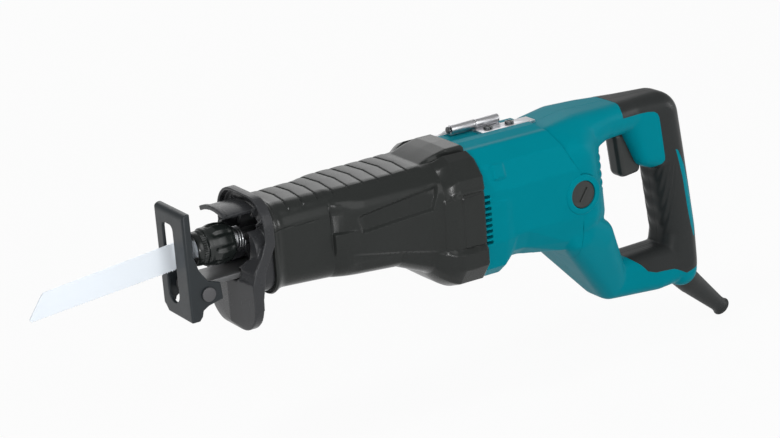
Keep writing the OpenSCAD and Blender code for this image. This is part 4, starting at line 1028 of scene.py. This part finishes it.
class SAW_OT_motor_housing(bpy.types.Operator):
    """Faceted motor housing with vents, brush bosses and a deeper front edge"""

    bl_idname = "saw.motor_housing"
    bl_label = "Motor housing"

    def execute(self, context):
        grain = context.scene.saw_shape.shell_grain / MM
        shell = soften(join("motor_shell", self.forms()), grain, passes=3)
        self.open_up(shell)
        settle(shell, "tool", "teal_moulding", sharp=40, nodes=["motor_housing"])
        # A dark sheet just inside each side's vent slots paints the shade within the housing.
        for sign, label in ((1, "left"), (-1, "right")):
            outline = rectangle(-236, PART_X - 0.4, -43, 0)
            shade_sheet = side_prism("vent_shade_sheet_" + label, outline, sign, *SHADE_SHEET_DEPTH)
            settle(shade_sheet, "tool", "black_moulding", sharp=40)
        hub = Matrix.Translation(np.array([BRUSH_X, 0.0, MOTOR_Z]) * MM + ORIGIN)
        slot_turn = hub @ Matrix.Rotation(CAP_TURN, 4, "Y") @ hub.inverted()
        for source in ("brush_cap_left", "brush_cap_right"):
            cap = eased_copy(source, source + "_dressed", 0.35)
            cap.data.transform(slot_turn)
            settle(cap, "tool", "black_moulding", sharp=35, nodes=[source])
        return {"FINISHED"}

    def forms(self):
        """The solid forms that the shell is united from."""
        front, rear, ledge_end = PART_X - 0.3, -340, -335
        deep_end = -247
        deep_foot = -256
        strut_start = -266
        strut_full = -302
        deep = [(x, y, z) for x in (front, deep_end) for y, z in both_sides(DEEP_HALF)]
        deep += [(deep_foot, y, z) for y, z in both_sides(DEEP_FOOT)]
        ledge = [(x, y, z) for x in (front, ledge_end) for y, z in HOOK_LEDGE]
        section = round_polygon(both_sides(MOTOR_HALF), radius=4.5, steps=7)
        forms = [prism("barrel", section, "x", rear, front), hull("deep_front", deep),
                 hull("hook_ledge", ledge)]
        for sign in (-1, 1):
            root = [(strut_start, sign * y, z) for y, z in STRUT_START]
            root += [(x, sign * y, z) for x in (strut_full, rear) for y, z in STRUT_ROOT]
            mark = [(x, sign * (y + rise), z) for x, rise in MARK_RISE for y, z in MARK_SECTION]
            forms += [hull("strut_root", root), hull("moulded_mark", mark)]
        return forms + [hull("strut_end", [p for disc in LOOP_LINKS[-1] for p in puck_points(disc)])]

    def open_up(self, shell):
        """Ends the shell at the handle's seam, hollows it and gives it bosses, cap bores and vents."""
        axis, hub = (0, MOTOR_Z), (BRUSH_X, MOTOR_Z)
        front, behind, ahead = PART_X + 20, -345, -200
        bore = 34.0
        boss_inside = 36.0
        boss = 15.3
        boss_reach = 41.6
        cap_bore = 10.7
        vents = 9
        vent_top = -4.0
        vent_pitch = 4.25
        vent_half = 1.25
        room = [(front, 60)] + [(x + SEAM_GAP, z) for x, z in SEAM_LINE] + [(front, -90)]
        carve(shell, prism("ahead_of_seam", room, "y", -THROUGH, THROUGH), "INTERSECT")
        carve(shell, prism("motor_bore", circle(bore, 72, axis), "x", behind, ahead))
        for sign in (-1, 1):
            ring = side_prism("boss", circle(boss, 64, hub), sign, 0.0, boss_reach)
            bevel(ring, width=1.0, segments=3)
            carve(ring, prism("boss_inside", circle(boss_inside, 72, axis), "x", behind, ahead))
            carve(shell, ring, "UNION")
            carve(shell, side_prism("cap_bore", circle(cap_bore, 48, hub), sign, *WALL_CUT))
            for k in range(vents):
                z = vent_top - vent_pitch * k
                slot = round_polygon(rectangle(-234, -220, z - vent_half, z + vent_half), radius=0.8, steps=3)
                carve(shell, side_prism("vent", slot, sign, *WALL_CUT))


# Handle

PUCKS = {
    # x, z, radius, half-width, edge rounding
    "rear_upper": (-318, 3, 22, 40, 19),
    "rear_lower": (-318, -38, 22, 40, 14),
    "rear_crown": (-307, 10.0, 18, 25, 9),
    "wall_upper": (-329, 13.5, 18, 30.5, 15.5),
    "wall_lower": (-333, -44, 14.5, 31, 10),
    "top_front": (-352, 18, 13, 25.5, 11),
    "top_back": (-385, 17.5, 12.5, 19.5, 10.5),
    "corner": (-411.5, 10, 19.5, 18.5, 13),
    "bay_low": (-399, -14, 12, 18, 8),
    "grip_top": (-421, -20, 14.8, 17.5, 12.5),
    "grip_low": (-429.5, -85, 14.8, 17.5, 12.5),
    "heel": (-428, -110, 17, 17.5, 11),
    "heel_drop": (-431.2, -118, 13.5, 16.5, 9),
    "low_back": (-405, -115.5, 12.5, 17.5, 9),
    "low_front": (-361, -109.5, 15, 17.5, 10),
    "strut_top": (-316, -53, 17, 38.5, 8),
    "strut_wall": (-337, -64, 15, 34, 9),
}
GRIP_LINKS = [
    ("top_front", "top_back"), ("top_back", "corner", "bay_low", "grip_top"), ("grip_top", "grip_low"),
]
LOOP_LINKS = [
    ("rear_upper", "rear_lower", "rear_crown", "wall_upper", "wall_lower"), ("wall_upper", "top_front"),
    *GRIP_LINKS, ("grip_low", "heel", "heel_drop"), ("heel", "low_back", "low_front"),
    ("low_front", "strut_top", "strut_wall"),
]
CORE_LINKS = [*GRIP_LINKS, ("grip_low", "heel"), ("heel", "low_back")]
RUBBER_OUTLINE = [(-373, 60), (-372, 33), (-369.5, 27), (-369.7, 12), (-366, -70), (-369, -85), (-376, -94),
                  (-385, -101), (-391, -107.5), (-399, -110.5), (-407, -111), (-417, -112), (-423, -115),
                  (-429, -118.5), (-440, -116), (-465, -108), (-465, 60)]
BARE_PANEL = [(-340, 20.9), (-367, 20.7), (-396, 19.3), (-401.5, 18.2), (-405, 16), (-406.6, 12.5),
              (-411.4, -19), (-411.6, -22.5), (-409.6, -25), (-404, -27), (-385.4, -33.7), (-340, -35)]
TEAL_STRIPE = [(-421.8, -16.0), (-424.6, -17.4), (-430.6, -30), (-436, -48), (-440.2, -68), (-440.9, -80),
               (-439.4, -90.5), (-437.4, -90), (-434.6, -80), (-432, -67), (-428, -40), (-423.4, -21)]
RUBBER_DEPTH = 2.5
RUBBER_REACH = 62.0
HANDLE_SCREWS = [
    # x, z, distance of the head's seat from the middle plane
    (-338, 19, 24), (-339, -54, 21), (-390, 18, 13), (-424.5, -57.5, 11), (-390, -114, 11),
]
TONGUE = (-335, -22, -72), (-285, 22, 24)
TRIGGER_BAY = (-407, -9, -34), (-352, 9, 5.8)
SLAB_LOW, SLAB_HIGH = (-520, -200), (-200, 120)  # x, z of a slab round the whole handle


def puck_points(name, less=0.0):
    """Points of one rounded disc of the loop, which may be made smaller all round."""
    around, over_edge = 44, 6
    x, z, radius, half, edge = PUCKS[name]
    radius, half = radius - less, half - less
    edge = min(edge, radius - 2, half - 1)
    out = []
    for k in range(around):
        a = 2 * math.pi * k / around
        for j in range(over_edge + 1):
            b = 0.5 * math.pi * j / over_edge
            r, h = radius - edge + edge * math.cos(b), half - edge + edge * math.sin(b)
            out += [(x + r * math.cos(a), y, z + r * math.sin(a)) for y in (h, -h)]
    return out


def loop_solid(name, links, grain, passes, less=0.0):
    """The handle's stretches united into one smooth solid."""
    stretches = [hull("stretch", [p for disc in link for p in puck_points(disc, less)]) for link in links]
    return soften(join(name, stretches), grain, passes)


def rubber_prism():
    """The part of the side view that the rubber covers."""
    region = prism("rubber_region", RUBBER_OUTLINE, "y", -RUBBER_REACH, RUBBER_REACH)
    beyond = RUBBER_REACH + 1
    for name, outline in (("bare_panel", BARE_PANEL), ("teal_stripe", TEAL_STRIPE)):
        carve(region, prism(name, outline, "y", -beyond, beyond))
    return region


def upright_slab(name, low_y, high_y):
    """A slab round the whole handle between two places across it."""
    (low_x, low_z), (high_x, high_z) = SLAB_LOW, SLAB_HIGH
    return block(name, (low_x, low_y, low_z), (high_x, high_y, high_z))


class SAW_OT_handle(bpy.types.Operator):
    """Two teal handle halves with the soft grip halves moulded over them"""

    bl_idname = "saw.handle"
    bl_label = "Handle and grip"

    def execute(self, context):
        shape = context.scene.saw_shape
        ridge = shape.grip_ridge / MM
        coarse, strip_half, strip_inset = 1.2, 0.8, 4.0
        region = rubber_prism()
        core = loop_solid("core", CORE_LINKS, coarse, passes=2, less=RUBBER_DEPTH)
        loop = loop_solid("loop", LOOP_LINKS, shape.shell_grain / MM, passes=14)
        strip = loop_solid("parting_strip", LOOP_LINKS, coarse, passes=2, less=strip_inset)
        carve(strip, upright_slab("strip_room", -strip_half, strip_half), "INTERSECT")

        def scallops(x, y, z, normal):
            pitch, height, level = 6.4, 1.0, 0.6
            wall = smoothstep(-0.3, -0.7, normal[:, 0]) * smoothstep(-336, -339, x)
            wall = wall * smoothstep(-352, -349, x) * smoothstep(-28.5, -27, z) * smoothstep(1.5, 0, z)
            return wall * height * (np.abs(np.sin(math.pi * z / pitch)) - level)

        def ridges(x, y, z, normal):
            proud, height, sunk = 0.15, 0.3, 0.1
            lean = x + (z + 28.0) * 0.13
            zone = smoothstep(-25, -31, z) * smoothstep(-96, -88, z)
            zone = zone * smoothstep(-424.5, -421.5, lean) * smoothstep(-403, -405, lean)
            return proud + zone * (height * np.cos(2 * math.pi * lean / ridge) - sunk)

        displace(loop, scallops)
        skin = displace(twin(loop, "skin"), ridges)
        carve(skin, region, "INTERSECT", keep=True)
        carve(skin, core, keep=True)
        carve(loop, region)
        carve(loop, core, "UNION")
        for side, label in ((1, "left"), (-1, "right")):
            half, grip = twin(loop, "handle_shell_" + label), twin(skin, "soft_grip_" + label)
            for tool in self.cuts(side, strip):
                carve(half, tool, keep=True)
                carve(grip, tool)
            drop_slivers(grip)
            settle(half, "tool", "teal_moulding", sharp=40, nodes=["handle_" + label])
            settle(grip, "tool", "grip_rubber", sharp=40, nodes=["grip_rubber_" + label])
        for helper in (loop, skin, strip):
            discard(helper)
        return {"FINISHED"}

    def cuts(self, side, strip):
        """What one half lacks: the other half, the motor's room, the trigger bay and the screw wells."""
        front = PART_X + 5
        tongue_gap = 0.8
        boss_room = 15.6
        well = 4.0
        well_gap = 0.3
        ahead = [(front, 70)] + [(x - SEAM_GAP, z) for x, z in SEAM_LINE] + [(front, -95)]
        past_tongue = [(x + tongue_gap, z) for x, z in ahead]
        room = prism("motor_room", ahead, "y", -THROUGH, THROUGH)
        tongue = block("tongue", *TONGUE)
        carve(tongue, prism("beyond_tongue", past_tongue, "y", -THROUGH, THROUGH))
        carve(room, tongue)
        other = upright_slab("other_half", *sorted((-side * 90.0, side * SEAM_GAP)))
        if side > 0:
            carve(other, strip, keep=True)
        hub = circle(boss_room, 56, (BRUSH_X, MOTOR_Z))
        made = [other, room] + [side_prism("boss_room", hub, sign, 22, 60) for sign in (-1, 1)]
        made.append(block("trigger_bay", *TRIGGER_BAY))
        if side < 0:
            made += [prism("screw_well", circle(well, 32, (x, z)), "y", -60, well_gap - seat)
                     for x, z, seat in HANDLE_SCREWS]
        return made


class SAW_OT_trigger(bpy.types.Operator):
    """Paddle trigger with a rounded face"""

    bl_idname = "saw.trigger"
    bl_label = "Trigger"

    def execute(self, context):
        corners = [(-377, 1, 4.2), (-381.5, -27, 5), (-391, -26, 5), (-394, 1, 4.2)]
        insets = [(-8.5, 3.2), (-7.0, 1.1), (-4.0, 0.0), (4.0, 0.0), (7.0, 1.1), (8.5, 3.2)]
        points = [(x, y, z) for centre_x, centre_z, radius in corners for y, inset in insets
                  for x, z in circle(radius - inset, 24, (centre_x, centre_z))]
        paddle = soften(hull("paddle", points), grain=0.5, passes=6)
        settle(paddle, "trigger", "black_moulding", sharp=60, nodes=["trigger"])
        return {"FINISHED"}


class SAW_OT_cord_guard(bpy.types.Operator):
    """Tapered cord guard with a flared open end"""

    bl_idname = "saw.cord_guard"
    bl_label = "Cord guard"

    def execute(self, context):
        root = np.array([BACK_X, 0.0, -134.5])
        lean = math.radians(43.0)
        bore = 4.2
        body = 9.7
        steps = 64
        along = np.array([-math.cos(lean), 0.0, -math.sin(lean)])
        across = np.array([math.sin(lean), 0.0, -math.cos(lean)])
        sideways = np.array([0.0, 1.0, 0.0])
        profile = [(-14, bore), (-14, body), (-10, body), (-0.2, body), (0.4, 9.6)]
        profile += [(t, 9.6 - 3.2 * t / 36.0) for t in np.linspace(3, 36, 12)]
        profile += [(38.5, 6.4), (40.5, 6.7), (42.0, 7.2), (42.8, 7.5), (43.0, 7.3), (42.6, 6.7),
                    (41.5, 6.0), (39.5, 5.3), (36.0, 4.8), (30.0, bore)]
        stack = [[root + along * t + across * a + sideways * b for a, b in circle(radius, steps)]
                 for t, radius in profile]
        guard = rings("cord_guard_dressed", stack, closed=True)
        settle(guard, "tool", "cord_rubber", sharp=40, nodes=["cord_guard"])
        return {"FINISHED"}


class SAW_OT_hook(bpy.types.Operator):
    """Folding hook, its base, hinge pin and screws, and the handle's screws"""

    bl_idname = "saw.hook"
    bl_label = "Hook and screws"

    def execute(self, context):
        dress_copies([
            ("hook", "hook_plate", 0.5, "hook", "zinc_plate", "zinc_steel"),
            ("hook_base", "hook_base_plate", 0.5, "tool", "zinc_plate", "zinc_steel"),
            ("hook_pin", "hook_hinge_pin", 0.3, "tool", "screw_steel", "dark_steel"),
            ("hook_screws", "hook_base_screws", 0.3, "tool", "screw_steel", "dark_steel"),
            ("handle_screws", "handle_half_screws", 0.3, "tool", "screw_steel", "dark_steel"),
        ])
        return {"FINISHED"}


class SAW_OT_inner_parts(bpy.types.Operator):
    """Finishes for the drive, motor and switch parts that keep their CAD shape"""

    bl_idname = "saw.inner_parts"
    bl_label = "Inner parts"

    looks = {
        "plain_steel": ["clamp_lock_pin", "plunger", "crank_gear", "crank_pin", "crank_roller",
                        "crank_bearing", "armature_shaft", "front_bearing", "rear_bearing", "brush_springs"],
        "bronze": ["plunger_bushes"],
        "grip_rubber": ["plunger_seal"],
        "cast_aluminium": ["gear_housing", "gear_cover_plate"],
        "screw_steel": ["gear_cover_screws", "cord_clamp_screws"],
        "stacked_sheets": ["armature_core", "stator_core"],
        "enamelled_copper": ["armature_windings", "field_coils", "commutator", "brush_holders"],
        "black_moulding": ["cooling_fan", "fan_baffle", "switch_body", "cord_clamp"],
        "carbon_block": ["carbon_brushes"],
    }

    def execute(self, context):
        for finish, names in self.looks.items():
            for name in names:
                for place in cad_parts[name].material_slots:
                    place.material = FINISHES[finish]
        return {"FINISHED"}


# Studio, in metres

CAMERA_PLACE = (0.827745, 1.348022, 0.681087)
CAMERA_TURN = (1.246337, 0.073548, 2.573104)
CAMERA_LENS, CAMERA_SENSOR = 107.13, 36.0
FLOOR_HALF = 6.0
FLOOR_GREY = 0.62
FLOOR_GLOW = 0.94  # share of plain white that the camera and reflections see in the floor
SOFT_LIGHT = 0.36  # strength of the world as a light on the saw
CEILING = 0.36  # strength of the world overhead, in reflections
CEILING_FROM = 0.25  # height in a direction of length 1 from which the ceiling is at full
LAMPS = [
    # name, place, aim, side, watts
    ("key_lamp", (1.0, 0.25, 1.5), (0.05, 0.0, 0.15), 0.3, 9.0),
    ("fill_lamp", (-0.2, 2.0, 1.1), (0.0, 0.0, 0.1), 1.5, 19.0),
    ("front_lamp", (1.0, 1.55, 0.3), (0.0, 0.0, 0.15), 0.2, 8.5),
    ("back_lamp", (-0.6, -1.7, 1.2), (0.0, 0.0, 0.1), 1.4, 9.0),
    ("rim_lamp", (-1.7, 0.7, 0.45), (-0.2, 0.0, 0.15), 0.5, 7.0),
]


def white_rays(tree):
    """Two sockets: 1 for camera rays, and 1 for camera, mirrored and passing rays alike."""
    rays = node(tree, "ShaderNodeLightPath").outputs
    seen = math_node(tree, "MAXIMUM", rays["Is Camera Ray"], rays["Is Glossy Ray"])
    return rays["Is Camera Ray"], math_node(tree, "MAXIMUM", seen, rays["Is Transmission Ray"])


def mix_out(tree, share, first, second, kind):
    """Feeds the output node with a mix of two shaders."""
    mix, out = node(tree, "ShaderNodeMixShader"), node(tree, kind)
    for value, socket in zip((share, first.outputs[0], second.outputs[0]), mix.inputs):
        feed(tree, value, socket)
    feed(tree, mix.outputs[0], out.inputs["Surface"])


class SAW_OT_studio(bpy.types.Operator):
    """White floor, soft lamps and the camera"""

    bl_idname = "saw.studio"
    bl_label = "Studio"

    def execute(self, context):
        scene = context.scene
        scene.view_settings.view_transform = "Standard"
        self.floor()
        self.world(scene)
        for name, place, aim, side, watts in LAMPS:
            lamp = bpy.data.lights.new(name, "AREA")
            lamp.size, lamp.energy = side, watts
            obj = add_object(name, lamp)
            obj.location = place
            obj.rotation_euler = (Vector(aim) - Vector(place)).to_track_quat("-Z", "Y").to_euler()
        camera = bpy.data.cameras.new("photo_camera")
        camera.sensor_width, camera.lens = CAMERA_SENSOR, CAMERA_LENS
        eye = add_object("photo_camera", camera)
        eye.location, eye.rotation_euler = CAMERA_PLACE, CAMERA_TURN
        scene.camera = eye
        return {"FINISHED"}

    def floor(self):
        """A wide pale floor that stays white to the camera and keeps the shadow."""
        mesh = bpy.data.meshes.new("floor")
        corners = rectangle(-FLOOR_HALF, FLOOR_HALF, -FLOOR_HALF, FLOOR_HALF)
        mesh.from_pydata([(x, y, 0.0) for x, y in corners], [], [(0, 1, 2, 3)])
        material = bpy.data.materials.new("floor_white")
        material.use_nodes = True
        tree = material.node_tree
        tree.nodes.clear()
        lit, glow = node(tree, "ShaderNodeBsdfDiffuse"), node(tree, "ShaderNodeEmission")
        feed(tree, solid_colour([FLOOR_GREY] * 3), lit.inputs["Color"])
        share = math_node(tree, "MULTIPLY", white_rays(tree)[1], FLOOR_GLOW)
        mix_out(tree, share, lit, glow, "ShaderNodeOutputMaterial")
        mesh.materials.append(material)
        add_object("floor", mesh)

    def world(self, scene):
        """White to the camera and in low reflections, greyer overhead, and a soft grey light elsewhere."""
        scene.world = bpy.data.worlds.new("studio_world")
        scene.world.use_nodes = True
        tree = scene.world.node_tree
        tree.nodes.clear()
        soft, white = node(tree, "ShaderNodeBackground"), node(tree, "ShaderNodeBackground")
        for light in (soft, white):
            feed(tree, (1, 1, 1, 1), light.inputs["Color"])
        camera_ray, shown = white_rays(tree)
        split, fade = node(tree, "ShaderNodeSeparateXYZ"), node(tree, "ShaderNodeMapRange")
        feed(tree, node(tree, "ShaderNodeTexCoord").outputs["Generated"], split.inputs[0])
        for label, value in (("Value", split.outputs["Z"]), ("From Max", CEILING_FROM), ("To Min", 1.0),
                             ("To Max", CEILING)):
            feed(tree, value, fade.inputs[label])
        feed(tree, SOFT_LIGHT, soft.inputs["Strength"])
        feed(tree, math_node(tree, "MAXIMUM", camera_ray, fade.outputs["Result"]), white.inputs["Strength"])
        mix_out(tree, shown, soft, white, "ShaderNodeOutputWorld")


STEPS = (SAW_OT_blade, SAW_OT_blade_clamp, SAW_OT_nose_guard, SAW_OT_shoe, SAW_OT_front_cover,
         SAW_OT_motor_housing, SAW_OT_handle, SAW_OT_trigger, SAW_OT_cord_guard, SAW_OT_hook,
         SAW_OT_inner_parts, SAW_OT_studio)


class SAW_PT_dressing(bpy.types.Panel):
    """Lists the saw's pieces in the order they are built"""

    bl_idname = "SAW_PT_dressing"
    bl_label = "Reciprocating saw"
    bl_space_type = "VIEW_3D"
    bl_region_type = "UI"
    bl_category = "Saw"

    def draw(self, context):
        for step in STEPS:
            self.layout.operator(step.bl_idname, text=step.bl_label)
        for group in (context.scene.saw_shape, context.scene.saw_colours):
            box = self.layout.box()
            for name in group.__annotations__:
                box.prop(group, name)


CLASSES = (SawShape, SawColours) + STEPS + (SAW_PT_dressing,)


def register():
    """Adds the classes and the saw's properties."""
    for cls in CLASSES:
        bpy.utils.register_class(cls)
    bpy.types.Scene.saw_shape = bpy.props.PointerProperty(type=SawShape)
    bpy.types.Scene.saw_colours = bpy.props.PointerProperty(type=SawColours)


def unregister():
    """Removes what register added."""
    del bpy.types.Scene.saw_colours
    del bpy.types.Scene.saw_shape
    for cls in reversed(CLASSES):
        bpy.utils.unregister_class(cls)


def main():
    """Builds every piece in order."""
    register()
    build_finishes(bpy.context.scene.saw_colours)
    for step in STEPS:
        group, name = step.bl_idname.split(".")
        getattr(getattr(bpy.ops, group), name)()


if __name__ == "__main__":
    main()
